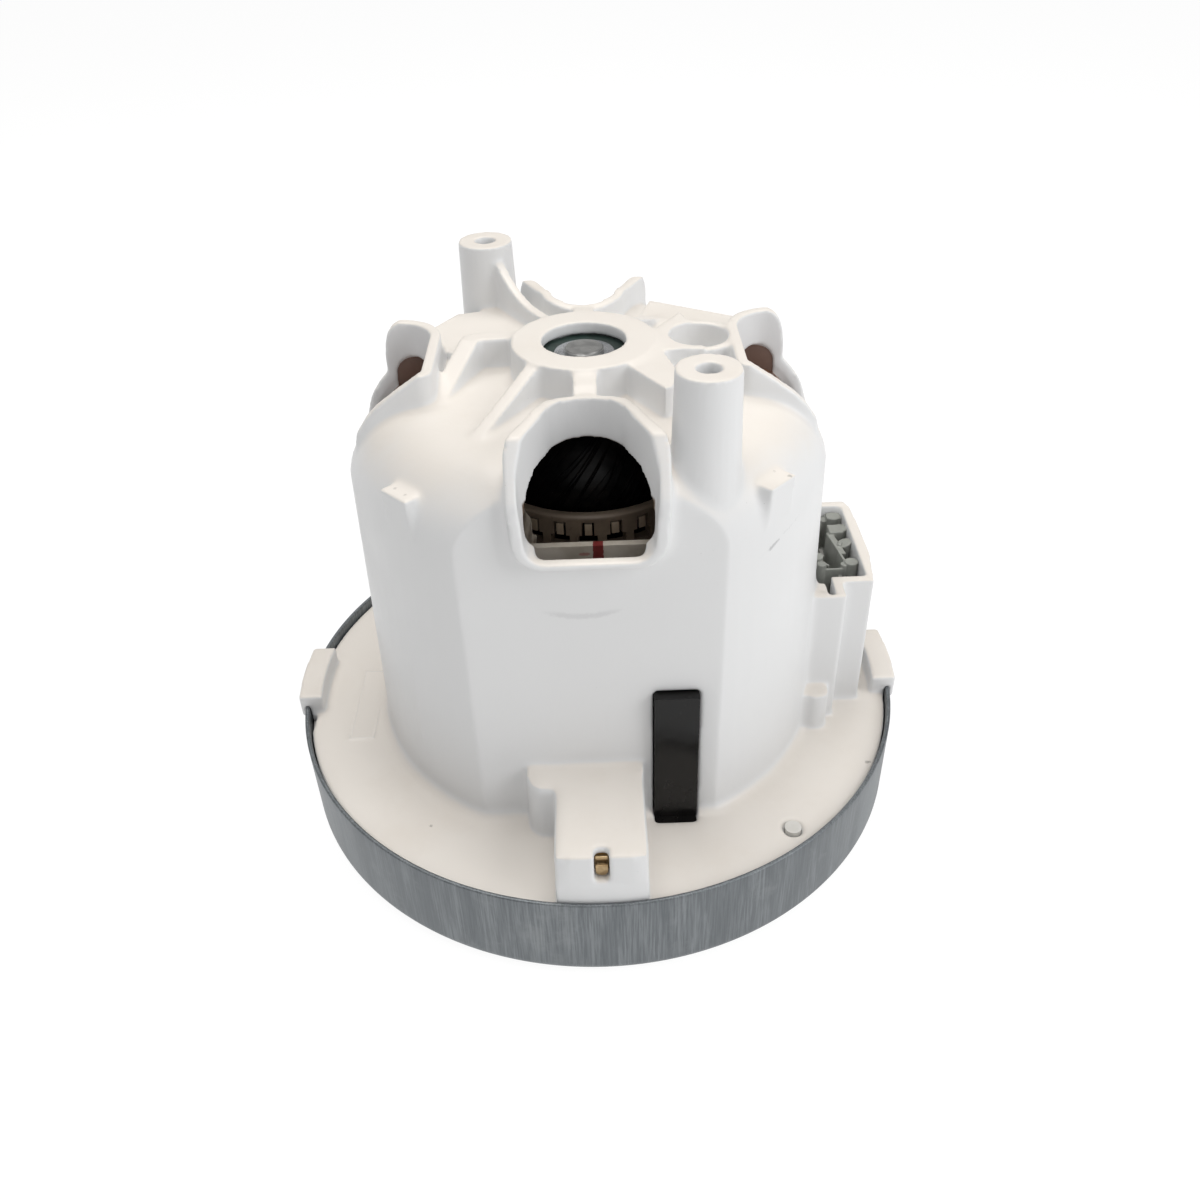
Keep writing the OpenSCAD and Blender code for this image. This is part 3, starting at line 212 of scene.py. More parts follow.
def painted_inner_shade(sh, x, y, z):
    """Where the housing's unlit inner faces are, which get painted shade: a dark brown in place of their
    shade and of the brown light off the wound parts in them.
    """
    r = sh.radius(x, y)
    beyond_r = sh.math("MAXIMUM", sh.minus(r, DOME_RING_R), 0.0)
    beyond_z = sh.math("MAXIMUM", sh.minus(z, DOME_RING_Z), 0.0)
    within = sh.smooth(sh.radius(beyond_r, beyond_z), DOME_INSIDE + 0.0003, DOME_INSIDE - 0.0003)
    ax, ay = sh.math("ABSOLUTE", x), sh.math("ABSOLUTE", y)
    inner = sh.times(within, sh.times(sh.smooth(ay, 0.0415, 0.041), sh.smooth(z, 0.0222, 0.0228)))
    cheek_foot = sh.times(sh.smooth(ax, 0.0405, 0.0409), sh.smooth(ay, 0.0131, 0.0128))
    inner = sh.times(inner, sh.minus(1.0, cheek_foot))
    under_ring = sh.math("MAXIMUM", sh.smooth(z, 0.0965, 0.0955), sh.smooth(r, 0.0285, 0.0275))
    return sh.times(inner, under_ring)


def housing_plastic():
    """White moulding: painted warm light on up-facing faces, dust on top, cool on the walls, marks, and
    painted brown shade inside.
    """
    sh = Shader("housing_plastic", Roughness=0.42, IOR=1.46, Coat_Weight=0.06, Coat_Roughness=0.35)
    nz = sh.upness()
    x, y, z = sh.xyz()
    mottle = sh.noise(60, 4, 0.6)
    fine = sh.noise(900, 2, 0.5)
    up = sh.plus(nz, sh.times(sh.minus(mottle, 0.5), 0.5))
    # Painted light: faces that look up are tinted warm, as the light falling on them looks, and the walls
    # stay cool
    cool, warm = (0.745, 0.75, 0.755), (0.745, 0.695, 0.635)
    color = sh.mix(sh.smooth(up, 0.25, 0.95, 0.0, 0.85), cool, warm)
    # dust that yellows the plate and the hollows of the dome
    blotch = sh.smooth(sh.noise(34, 5, 0.62), 0.48, 0.75, 0.0, 0.35)
    color = sh.mix(sh.times(blotch, sh.smooth(nz, 0.5, 0.95)), color, (0.66, 0.6, 0.53))
    # faint vertical rub marks on the walls
    rub = sh.noise(420, 3, 0.6, vec=sh.stretched(1.0, 1.0, 0.05))
    color = sh.mix(sh.smooth(rub, 0.62, 0.78, 0.0, 0.05), color, (0.62, 0.62, 0.62))
    # tiny dark specks
    specks = sh.times(sh.smooth(sh.voronoi(330), 0.045, 0.02), sh.smooth(sh.noise(95, 2), 0.6, 0.66))
    color = sh.mix(sh.times(specks, 0.42), color, (0.2, 0.19, 0.18))
    color = marks(sh, color, y, z)
    # Painted shade: the unlit inner faces are painted dark brown
    color = sh.mix(painted_inner_shade(sh, x, y, z), color, (0.15, 0.105, 0.075))
    sh.out(color, "Base Color")
    sh.out(sh.smooth(mottle, 0.3, 0.7, 0.36, 0.5), "Roughness")
    height = sh.plus(sh.times(fine, 0.5), sh.noise(150, 3))
    sh.out(sh.bump(height, 0.00006, 0.5), "Normal")
    return sh.mat


def can_steel():
    """Galvanised sheet: fine upright streaks with soft grey clouds and pale spangles."""
    sh = Shader("can_steel", Metallic=0.75, Roughness=0.42)
    streaks = sh.noise(2400, 4, 0.65, vec=sh.stretched(1.0, 1.0, 0.035))
    wide = sh.noise(260, 3, 0.6, vec=sh.stretched(1.0, 1.0, 0.12))
    spangle = sh.noise(120, 5, 0.7)
    color = sh.mix(sh.smooth(streaks, 0.35, 0.68), (0.135, 0.148, 0.158), (0.25, 0.268, 0.28))
    color = sh.mix(sh.smooth(wide, 0.42, 0.66, 0.0, 0.45), color, (0.115, 0.128, 0.138))
    color = sh.mix(sh.smooth(spangle, 0.52, 0.75, 0.0, 0.3), color, (0.31, 0.325, 0.33))
    sh.out(color, "Base Color")
    sh.out(sh.smooth(streaks, 0.3, 0.7, 0.36, 0.56), "Roughness")
    sh.out(sh.bump(streaks, 0.00005, 0.6), "Normal")
    return sh.mat


def plain_plastic(name, base, low, rough, scale, speck=(0.1, 0.1, 0.1), grime=0.25):
    """Moulded plastic in two tones with fine grain and specks of grime."""
    sh = Shader(name, Roughness=rough)
    tone = sh.noise(scale * 0.3, 4, 0.6)
    grain = sh.noise(scale * 5, 2)
    color = sh.mix(sh.smooth(tone, 0.35, 0.7), base, low)
    color = sh.mix(sh.smooth(sh.noise(scale, 5, 0.7), 0.6, 0.8, 0.0, grime), color, speck)
    sh.out(color, "Base Color")
    sh.out(sh.smooth(tone, 0.3, 0.7, max(rough - 0.08, 0.05), rough + 0.08), "Roughness")
    sh.out(sh.bump(grain, 0.00004, 0.5), "Normal")
    return sh.mat


def metal(name, base, low, rough, stretch=(1.0, 1.0, 1.0), scale=1500, metallic=1.0, bump=0.00003):
    """Bare metal in two tones with fine lines and duller clouds."""
    sh = Shader(name, Metallic=metallic, Roughness=rough)
    lines = sh.noise(scale, 4, 0.6, vec=sh.stretched(*stretch))
    cloud = sh.noise(scale * 0.12, 3, 0.6)
    color = sh.mix(sh.smooth(lines, 0.35, 0.65), base, low)
    color = sh.mix(sh.smooth(cloud, 0.45, 0.75, 0.0, 0.5), color, tuple(v * 0.7 for v in low))
    sh.out(color, "Base Color")
    sh.out(sh.smooth(cloud, 0.3, 0.7, max(rough - 0.08, 0.08), rough + 0.12), "Roughness")
    sh.out(sh.bump(lines, bump, 0.6), "Normal")
    return sh.mat


def slot_black():
    """Smooth black plastic with a little pale lint."""
    sh = Shader("slot_black", Roughness=0.2, IOR=1.35)
    tone = sh.noise(120, 4, 0.6)
    color = sh.mix(sh.smooth(tone, 0.35, 0.7), (0.0045, 0.0042, 0.004), (0.0075, 0.007, 0.0065))
    lint = sh.times(sh.smooth(sh.voronoi(900), 0.09, 0.03), sh.smooth(sh.noise(210, 2), 0.56, 0.66))
    sh.out(sh.mix(sh.times(lint, 0.35), color, (0.3, 0.3, 0.29)), "Base Color")
    sh.out(sh.smooth(tone, 0.3, 0.7, 0.16, 0.3), "Roughness")
    sh.out(sh.bump(sh.noise(90, 3), 0.00012, 0.35), "Normal")
    return sh.mat


def varnished_black():
    """Black varnish over the armature's wires."""
    sh = Shader("varnished_black", Roughness=0.4, IOR=1.25, Coat_Weight=0.05, Coat_Roughness=0.15)
    tone = sh.noise(260, 4, 0.6)
    sh.out(sh.mix(sh.smooth(tone, 0.4, 0.75), (0.0022, 0.0022, 0.0026), (0.008, 0.0065, 0.006)), "Base Color")
    sh.out(sh.smooth(tone, 0.3, 0.75, 0.3, 0.55), "Roughness")
    sh.out(sh.bump(sh.noise(700, 3, 0.6), 0.00012, 0.5), "Normal")
    return sh.mat


def insulator_cream():
    """Cream insulator with a red paint mark and a paler dab on the front flange."""
    sh = Shader("insulator_cream", Roughness=0.5)
    tone = sh.noise(120, 4, 0.6)
    color = sh.mix(sh.smooth(tone, 0.35, 0.7), (0.88, 0.81, 0.71), (0.64, 0.57, 0.47))
    x, y, _ = sh.xyz()
    wave = sh.times(sh.minus(sh.noise(600, 3, 0.6), 0.5), 0.0009)
    off = sh.math("ABSOLUTE", sh.minus(sh.plus(x, wave), PAINT_X))
    front = sh.smooth(y, -0.0275, -0.0285)
    paint = sh.times(sh.smooth(off, 0.00112, 0.00095), front)
    dab = sh.smooth(sh.plus(dist_to(sh, DAB_MM, (0.45, 0.0, 1.2)), wave), 0.0006, 0.0003)
    dab = sh.times(dab, front)
    red = sh.mix(sh.noise(1500, 3, 0.7), (0.34, 0.01, 0.012), (0.2, 0.004, 0.006))
    color = sh.mix(sh.times(dab, 0.5), color, (0.5, 0.06, 0.05))
    sh.out(sh.mix(sh.times(paint, 0.95), color, red), "Base Color")
    sh.out(sh.bump(sh.noise(1200, 2), 0.00004, 0.5), "Normal")
    return sh.mat


def ring_brown():
    """Brown plastic of the ring, paler on its rim and tongues, and the redder wraps outside it."""
    sh = Shader("ring_brown", Roughness=0.42)
    tone = sh.noise(160, 4, 0.6)
    color = sh.mix(sh.smooth(tone, 0.35, 0.7), (0.2, 0.155, 0.115), (0.145, 0.11, 0.082))
    color = sh.mix(sh.smooth(sh.noise(700, 4, 0.7), 0.55, 0.75, 0.0, 0.5), color, (0.07, 0.054, 0.042))
    x, y, z = sh.xyz()
    r = sh.radius(x, y)
    hook = sh.times(sh.smooth(r, 0.02381, 0.02386), sh.smooth(z, 0.0804, 0.0802))
    color = sh.mix(hook, color, (0.36, 0.29, 0.215))
    color = sh.mix(sh.times(sh.smooth(z, 0.0814, 0.0817), 0.8), color, (0.27, 0.215, 0.165))
    color = sh.mix(sh.smooth(r, 0.03, 0.031), color, (0.16, 0.098, 0.076))
    sh.out(color, "Base Color")
    sh.out(sh.bump(sh.noise(900, 2), 0.00006, 0.6), "Normal")
    return sh.mat


def wound(name, base, low):
    """Lacquered wire bundle: fine rows with varnish between them."""
    sh = Shader(name, Roughness=0.35, Coat_Weight=0.3, Coat_Roughness=0.25)
    wave = {"Vector": sh.pos, "Scale": 320.0, "Distortion": 1.6, "Detail": 2.0, "Detail Scale": 1.2}
    rows = sh.add("ShaderNodeTexWave", wave, wave_type="BANDS", bands_direction="Z").outputs["Fac"]
    tone = sh.noise(200, 4, 0.6)
    color = sh.mix(sh.smooth(rows, 0.1, 0.8), low, base)
    color = sh.mix(sh.smooth(tone, 0.5, 0.75, 0.0, 0.6), color, tuple(v * 0.45 for v in low))
    sh.out(color, "Base Color")
    sh.out(sh.bump(rows, 0.0002, 0.8), "Normal")
    return sh.mat


def shaft_face():
    """Ground steel with turning rings on its end face."""
    sh = Shader("shaft_steel", Metallic=1.0, Roughness=0.33)
    x, y, _ = sh.xyz()
    rings = sh.math("SINE", sh.times(sh.radius(x, y), RING_WAVES))
    cloud = sh.noise(500, 4, 0.6)
    color = sh.mix(sh.smooth(rings, -1.0, 1.0), (0.36, 0.36, 0.355), (0.48, 0.48, 0.47))
    color = sh.mix(sh.smooth(cloud, 0.5, 0.75, 0.0, 0.5), color, (0.22, 0.215, 0.21))
    sh.out(color, "Base Color")
    sh.out(sh.smooth(cloud, 0.3, 0.7, 0.28, 0.45), "Roughness")
    sh.out(sh.bump(sh.plus(rings, sh.noise(2500, 2)), 0.00001, 0.5), "Normal")
    return sh.mat


RING_WAVES = 16000.0
PAINT_X = 0.0014
DAB_MM = (PAINT_X / MM - 2.6, -30.5, 77.6)
SCUFF_LINES_MM = [((30.5, -39.3, 80.5), (36.0, -35.4, 82.6)), ((37.0, -34.6, 83.0), (42.2, -28.4, 85.2)),
                  ((43.0, -27.0, 85.8), (46.4, -21.0, 88.2))]
# (centre, radius, depth of the tone)
SPECKS_MM = [((-36.7, -47.2, 19.7), 0.55, 0.6), ((60.6, -32.7, 19.7), 0.7, 0.6),
             ((61.2, -32.6, 19.7), 0.55, 0.5), ((37.2, -33.6, 95.5), 0.6, 0.5),
             ((34.4, -32.3, 95.5), 0.5, 0.4), ((31.0, -37.0, 95.5), 0.45, 0.5),
             ((-35.6, -33.2, 95.5), 0.5, 0.35), ((-33.4, -35.6, 95.5), 0.5, 0.35),
             ((-30.8, -38.6, 88.0), 0.45, 0.25)]
# name: (base colour, second colour, roughness, grain scale, then the colour and share of the grime)
PLASTICS = {
    "connector_grey": ((0.33, 0.34, 0.31), (0.24, 0.245, 0.225), 0.42, 260, (0.14, 0.13, 0.11), 0.3),
    "carbon": ((0.03, 0.03, 0.032), (0.018, 0.018, 0.02), 0.6, 900, (0.09, 0.09, 0.09), 0.3),
    "diffuser_plastic": ((0.66, 0.65, 0.62), (0.56, 0.54, 0.5), 0.48, 220, (0.35, 0.32, 0.28), 0.3),
    "seal_rubber": ((0.012, 0.03, 0.024), (0.006, 0.014, 0.011), 0.4, 600, (0.03, 0.035, 0.03), 0.4),
    "cage_plastic": ((0.45, 0.3, 0.17), (0.34, 0.22, 0.12), 0.5, 400),
    "hub_black": ((0.03, 0.022, 0.02), (0.018, 0.014, 0.013), 0.35, 500),
}
# name: (base colour, second colour, roughness, stretch of the lines, their scale, metallic, bump)
METALS = {
    "contact_metal": ((0.55, 0.53, 0.5), (0.42, 0.41, 0.39), 0.35),
    "brush_tube": ((0.6, 0.45, 0.26), (0.4, 0.28, 0.15), 0.36, (1.0, 0.2, 1.0), 900),
    "spring_wire": ((0.5, 0.5, 0.48), (0.36, 0.36, 0.35), 0.35, (1.0, 1.0, 1.0), 2200),
    "bracket_metal": ((0.5, 0.51, 0.52), (0.38, 0.39, 0.4), 0.5, (1.0, 1.0, 1.0), 1300, 1.0, 0.00012),
    "screw_steel": ((0.56, 0.56, 0.55), (0.4, 0.4, 0.4), 0.34, (1.0, 1.0, 0.2), 1500),
    "bearing_steel": ((0.62, 0.63, 0.65), (0.52, 0.53, 0.55), 0.22, (1.0, 1.0, 6.0), 1800),
    "lamination": ((0.25, 0.25, 0.26), (0.13, 0.12, 0.12), 0.5, (0.15, 0.15, 9.0), 700, 0.9, 0.0001),
    "commutator_copper": ((0.6, 0.3, 0.16), (0.4, 0.17, 0.09), 0.28, (0.3, 0.3, 4.0), 1600),
    "fan_aluminium": ((0.66, 0.66, 0.67), (0.52, 0.52, 0.53), 0.34, (1.0, 1.0, 1.0), 1100),
}
MATERIALS = {
    "housing_plastic": housing_plastic(),
    "can_steel": can_steel(),
    "black_plastic": slot_black(),
    "field_winding": wound("field_winding", (0.19, 0.085, 0.04), (0.08, 0.035, 0.02)),
    "insulator": insulator_cream(),
    "ring_brown": ring_brown(),
    "shaft_steel": shaft_face(),
    "armature_varnish": varnished_black(),
    **{name: plain_plastic(name, *values) for name, values in PLASTICS.items()},
    **{name: metal(name, *values) for name, values in METALS.items()},
}
SLOT_OF = {s["node"]: s["material_slot"] for s in frame["record"]["subparts"]}
# Faces of a node that meet at more than this angle stay apart in the shading
NODE_ANGLE = 35.0


def dress(mesh, slot_name):
    """Gives a mesh its material and smooth faces."""
    mesh.materials.clear()
    mesh.materials.append(MATERIALS[slot_name])
    mesh.polygons.foreach_set("use_smooth", [True] * len(mesh.polygons))


def sharpen(mesh, angle):
    """Marks edges sharper than the angle, so that flat faces stay flat under smooth shading."""
    bm = bmesh.new()
    bm.from_mesh(mesh)
    limit = math.radians(angle)
    sharp = [len(e.link_faces) != 2 or e.calc_face_angle(0.0) > limit for e in bm.edges]
    bm.free()
    attr = mesh.attributes.get("sharp_edge") or mesh.attributes.new("sharp_edge", "BOOLEAN", "EDGE")
    attr.data.foreach_set("value", sharp)


for node_name, node_obj in NODES.items():
    dress(node_obj.data, SLOT_OF[node_name])
    node_obj.data.polygons.foreach_set("material_index", [0] * len(node_obj.data.polygons))
    sharpen(node_obj.data, NODE_ANGLE)
    node_obj.data.update()


# ---------------------------------------------------------------- piece helpers
def piece(name, mesh, body, slot_name, smooth_angle=None):
    """Puts a mesh into the scene as a piece that rides on a body."""
    obj = bpy.data.objects.new(name, mesh)
    bpy.context.scene.collection.objects.link(obj)
    dress(mesh, slot_name)
    if smooth_angle is not None:
        sharpen(mesh, smooth_angle)
    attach(obj, body)
    return obj


def from_bmesh(bm, name):
    """Ends a bmesh as a mesh whose faces point outwards."""
    bmesh.ops.recalc_face_normals(bm, faces=bm.faces)
    mesh = bpy.data.meshes.new(name)
    bm.to_mesh(mesh)
    bm.free()
    return mesh


def with_modifiers(source, steps, name):
    """A copy of a mesh with modifiers applied. Each step is a type and its settings."""
    obj = bpy.data.objects.new(name + "_work", source.copy())
    bpy.context.scene.collection.objects.link(obj)
    for kind, settings in steps:
        mod = obj.modifiers.new(kind, kind)
        for key, value in settings.items():
            setattr(mod, key, value)
    depsgraph = bpy.context.evaluated_depsgraph_get()
    depsgraph.update()
    mesh = bpy.data.meshes.new_from_object(obj.evaluated_get(depsgraph))
    mesh.name = name
    bpy.data.objects.remove(obj)
    return mesh


# ---------------------------------------------------------------- shape helpers, in mm
# Edges whose faces meet at more than this angle are rounded
BEVEL_ANGLE = 35.0


def round_turn(n):
    """Angles of n even steps of a full turn."""
    return [2 * math.pi * k / n for k in range(n)]


def at_turn(bm, r, a, z):
    """A vertex at a radius, an angle and a height in mm about the shaft axis."""
    return bm.verts.new((r * math.cos(a) * MM, r * math.sin(a) * MM, z * MM))


def lathe(bm, profile_mm, segments, closed=False):
    """Turns a list of (radius, height) points about the shaft axis."""
    rings = [[at_turn(bm, r, a, z) for a in round_turn(segments)] for r, z in profile_mm]
    pairs = list(zip(rings, rings[1:]))
    if closed:
        pairs.append((rings[-1], rings[0]))
    for low, high in pairs:
        for k in range(segments):
            m = (k + 1) % segments
            bm.faces.new((low[k], low[m], high[m], high[k]))
    return rings


def arc_mm(cx, cz, r, a0, a1, n):
    """Points of an arc about (cx, cz) from angle a0 to a1, in degrees, in n steps."""
    steps = [math.radians(a0 + (a1 - a0) * k / n) for k in range(n + 1)]
    return [(cx + r * math.cos(a), cz + r * math.sin(a)) for a in steps]


def rod(bm, points_mm, radius_mm, sides):
    """A closed round rod along points."""
    pts = [Vector(p) * MM for p in points_mm]
    rings = []
    side = None
    for k, p in enumerate(pts):
        ahead = (pts[min(k + 1, len(pts) - 1)] - pts[max(k - 1, 0)]).normalized()
        side = ahead.orthogonal() if side is None else side - ahead * side.dot(ahead)
        side = side.normalized()
        up = ahead.cross(side)
        rings.append([bm.verts.new(p + (side * math.cos(a) + up * math.sin(a)) * radius_mm * MM)
                      for a in round_turn(sides)])
    for low, high in zip(rings, rings[1:]):
        for m in range(sides):
            q = (m + 1) % sides
            bm.faces.new((low[m], low[q], high[q], high[m]))
    bm.faces.new(rings[0][::-1])
    bm.faces.new(rings[-1])


def rectangle(half, low, high):
    """Outline of an upright rectangle about the middle."""
    return [(-half, low), (half, low), (half, high), (-half, high)]


def plate_of(bm, outline, thickness_mm, place):
    """A flat plate from a 2-D outline in mm; place maps (u, v, w) to a point in mm."""
    near = [bm.verts.new(Vector(place(u, v, 0.0)) * MM) for u, v in outline]
    far = [bm.verts.new(Vector(place(u, v, thickness_mm)) * MM) for u, v in outline]
    bm.faces.new(near)
    bm.faces.new(far[::-1])
    n = len(outline)
    for k in range(n):
        bm.faces.new((near[k], far[k], far[(k + 1) % n], near[(k + 1) % n]))


def block_of(bm, x0, y0, x1, y1, top, deep):
    """An upright block between two corners, from its top down."""
    plate_of(bm, [(x0, y0), (x1, y0), (x1, y1), (x0, y1)], deep, lambda u, v, q: (u, v, top - q))


def bevelled(mesh, width_mm, segments=2, angle=BEVEL_ANGLE):
    """A copy of a mesh with rounded edges."""
    settings = {"width": width_mm * MM, "segments": segments, "limit_method": "ANGLE",
                "angle_limit": math.radians(angle)}
    return with_modifiers(mesh, [("BEVEL", settings)], mesh.name)


def soft_edges(node, width_mm, segments=2):
    """Rounds the sharp edges of a node of the frame with a modifier."""
    mod = NODES[node].modifiers.new("edges", "BEVEL")
    mod.width = width_mm * MM
    mod.segments = segments
    mod.limit_method = "ANGLE"
    mod.angle_limit = math.radians(BEVEL_ANGLE)


# ---------------------------------------------------------------- moulded housing
VOXEL = 0.00045
# Rounds of the filling, and after how many of them the surface's directions are read again
FILLET_ROUNDS, NORMALS_EVERY = 30, 3
# Share of a vertex's lift that it moves in a round, and the lift that still counts as flat
FILLET_STEP, FLAT_LIFT = 0.7, 0.000004
# Share of the faces that are kept after the remesh
HOUSING_KEPT = 0.22
# Smoothing of the steps that a remesh leaves
SMOOTHED = {"factor": 0.5, "iterations": 3}


def vertex_data(data, field, count):
    """A field of the vertices as an array with a row for each."""
    values = np.empty(count * 3, np.float32)
    data.foreach_get(field, values)
    return values.reshape(-1, 3).astype(np.float64)


def set_coords(mesh, co):
    """Moves the vertices of a mesh to the rows of an array."""
    mesh.vertices.foreach_set("co", co.astype(np.float32).ravel())
    mesh.update()


def ramp(value, start, width):
    """0 up to start and 1 from start + width on, straight between them."""
    return np.clip((value - start) / width, 0.0, 1.0)


def fillet_share(co):
    """Where inner corners get their full radius: above the hoods, less at the plate, none in the hoods."""
    y, z = np.abs(co[:, 1]), co[:, 2]
    return np.maximum(ramp(z, 0.036, 0.006), 0.45 * ramp(-y, -0.062, 0.006))


def round_share(co):
    """Where outer edges are rounded too: the upper edges of the hoods."""
    x, y, z = np.abs(co[:, 0]), np.abs(co[:, 1]), co[:, 2]
    hood = ramp(y, 0.0475, 0.001) * ramp(-y, -0.0715, 0.001)
    return hood * ramp(x, 0.0062, 0.001) * ramp(z, 0.026, 0.003)


def fill_hollows(mesh):
    """Rounds inner corners: a vertex in a hollow moves out to the mean of its neighbours."""
    ends = np.empty(len(mesh.edges) * 2, np.int32)
    mesh.edges.foreach_get("vertices", ends)
    a, b = ends.reshape(-1, 2).T
    count = len(mesh.vertices)
    valence = np.bincount(ends, minlength=count)
    co = vertex_data(mesh.vertices, "co", count)
    share, outer = fillet_share(co), round_share(co)
    for turn in range(FILLET_ROUNDS):
        if turn % NORMALS_EVERY == 0:
            set_coords(mesh, co)
            no = vertex_data(mesh.vertex_normals, "vector", count)
        total = np.stack([np.bincount(a, co[b, k], count) + np.bincount(b, co[a, k], count)
                          for k in range(3)], 1)
        lift = ((total / valence[:, None] - co) * no).sum(1)
        step = np.maximum(lift - FLAT_LIFT, 0.0) * share * FILLET_STEP
        step += np.minimum(lift, 0.0) * outer * FILLET_STEP
        co += no * step[:, None]
    set_coords(mesh, co)


# Small fillings of the moulding: x, y of one corner, x, y of the other, bottom and top.
# The ledge in the step of the shroud, the foot of the tall slot, the wall over the tube's end in the front
# hood's slot, the feet of the side windows' far cheeks
FILLINGS_MM = [(47.6, -15.6, 52.1, -10.6, 40.4, 54.4), (11.0, -50.4, 21.2, -48.2, 17.0, 19.55),
               (-2.0, -67.3, 2.0, -66.65, 32.4, 34.2),
               (40.9, 12.6, 46.3, 14.6, 80.0, 92.0), (40.9, 12.6, 44.4, 14.6, 91.0, 96.5),
               (-46.3, 12.6, -40.9, 14.6, 80.0, 92.0), (-44.4, 12.6, -40.9, 14.6, 91.0, 96.5)]


def moulded_housing():
    """The housing with its small fillings, remeshed as one skin and rounded in its corners."""
    bm = bmesh.new()
    bm.from_mesh(NODES["motor_housing"].data)
    moulded = len(bm.faces)
    for x0, y0, x1, y1, low, top in FILLINGS_MM:
        block_of(bm, x0, y0, x1, y1, top, top - low)
    bm.faces.ensure_lookup_table()
    bmesh.ops.recalc_face_normals(bm, faces=bm.faces[moulded:])
    whole = bpy.data.meshes.new("housing_whole")
    bm.to_mesh(whole)
    bm.free()
    mesh = with_modifiers(whole, [("REMESH", {"mode": "VOXEL", "voxel_size": VOXEL}),
                                  ("SMOOTH", SMOOTHED)], "housing_skin")
    fill_hollows(mesh)
    mesh = with_modifiers(mesh, [("SMOOTH", {"factor": 0.5, "iterations": 1}),
                                 ("DECIMATE", {"decimate_type": "COLLAPSE", "ratio": HOUSING_KEPT})],
                          "moulded_housing")
    obj = piece("moulded_housing", mesh, "housing", "housing_plastic")
    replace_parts(obj, "motor_housing")


moulded_housing()


# ---------------------------------------------------------------- steel can
# Radius, sheet thickness, height and corner radius of the can, then the inlet eye with its lip, the recess
# round it and the radius of the rim's edges, all in mm
CAN_R, CAN_T, CAN_H, CAN_CORNER = 71.5, 1.0, 21.7, 3.0
EYE_R, LIP_H, LIP_CORNER = 19.0, 3.6, 1.2
RECESS, RECESS_R = 1.6, 53.0
RIM_R = 0.42


def steel_can():
    """Pressed can: rolled inlet lip, drawn recess, rounded corner and deburred rim."""
    c, t = CAN_CORNER, CAN_T
    lip_top = RECESS + LIP_H
    profile = arc_mm(EYE_R + LIP_CORNER, RECESS + LIP_CORNER, LIP_CORNER, 180, 270, 6)
    profile += [(RECESS_R - 2.6, RECESS)] + arc_mm(RECESS_R - 2.0, RECESS - 0.8, 0.8, 90, 50, 3)
    profile += arc_mm(RECESS_R + 1.4, 0.7, 0.7, 230, 270, 3)
    profile += arc_mm(CAN_R - c, c, c, 270, 360, 12)
    profile += [(CAN_R, CAN_H * k / 6 + c * (1 - k / 6)) for k in range(1, 6)]
    profile += arc_mm(CAN_R - RIM_R, CAN_H - RIM_R, RIM_R, 0, 90, 5)
    profile += arc_mm(CAN_R - t + RIM_R, CAN_H - RIM_R, RIM_R, 90, 180, 5)
    profile += [(CAN_R - t, CAN_H * 0.5)] + arc_mm(CAN_R - c, c, c - t, 360, 270, 10)
    profile += [(RECESS_R + 1.8, t), (RECESS_R - 1.2, RECESS + t), (EYE_R + t + LIP_CORNER, RECESS + t)]
    profile += [(EYE_R + t, RECESS + t + 0.9), (EYE_R + t, lip_top - 0.4)]
    profile += arc_mm(EYE_R + t / 2, lip_top - t / 2, t / 2, 0, 180, 8)
    bm = bmesh.new()
    lathe(bm, profile, 288, closed=True)
    can = piece("steel_can", from_bmesh(bm, "steel_can"), "housing", "can_steel", 50.0)
    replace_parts(can, "fan_can")


steel_can()


# ---------------------------------------------------------------- armature end and crown
# (radius, height) from the core up to the shaft
DOME_PROFILE = [(19.2, 72.7), (18.6, 75.0)] + arc_mm(11.0, 84.05, 8.85, -38, 40, 14) + [
    (16.2, 92.0), (14.6, 93.9), (13.0, 95.0), (11.0, 95.9), (8.9, 96.45), (6.4, 96.8), (4.1, 96.9)]
WIRES, WIRE_R, WIRE_STEPS = 84, 0.2, 26
# How far the dark core lies under the wires' surface
CORE_DEPTH = 0.35


def dome_point(t, lift=0.0):
    """Point of the dome's outline at the share t of its length, lifted off the surface."""
    pts = DOME_PROFILE
    lengths = [math.dist(a, b) for a, b in zip(pts, pts[1:])]
    goal = t * sum(lengths)
    for (a, b), length in zip(zip(pts, pts[1:]), lengths):
        if goal <= length or b is pts[-1]:
            f = min(goal / length, 1.0)
            nr, nz = (b[1] - a[1]) / length, -(b[0] - a[0]) / length
            return a[0] + (b[0] - a[0]) * f + nr * lift, a[1] + (b[1] - a[1]) * f + nz * lift
        goal -= length


def armature_end():
    """Varnished winding end: a dark core under swirling wires that cross beside the shaft."""
    bm = bmesh.new()
    rings = lathe(bm, [(r - CORE_DEPTH, z) for r, z in DOME_PROFILE], 96)
    bm.faces.new(rings[0][::-1])
    bm.faces.new(rings[-1])
    for k in range(WIRES):
        base = 2 * math.pi * (k + RNG.uniform(-0.25, 0.25)) / WIRES
        swirl = RNG.uniform(1.0, 1.5)
        start, stop = RNG.uniform(0.0, 0.05), RNG.uniform(0.82, 0.97)
        depth = RNG.uniform(-0.42, -0.2)
        wave, phase = RNG.uniform(0.0, 0.05), RNG.uniform(0, 6.28)
        path = []
        for m in range(WIRE_STEPS + 1):
            t = start + (stop - start) * m / WIRE_STEPS
            r, z = dome_point(t, depth)
            a = base + swirl * t ** 1.6 + wave * math.sin(7 * t + phase)
            path.append((r * math.cos(a), r * math.sin(a), z))
        rod(bm, path, WIRE_R, 5)
    obj = piece("armature_end", from_bmesh(bm, "armature_end"), "rotor", "armature_varnish", 60.0)
    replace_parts(obj, "armature_winding_top")


armature_end()

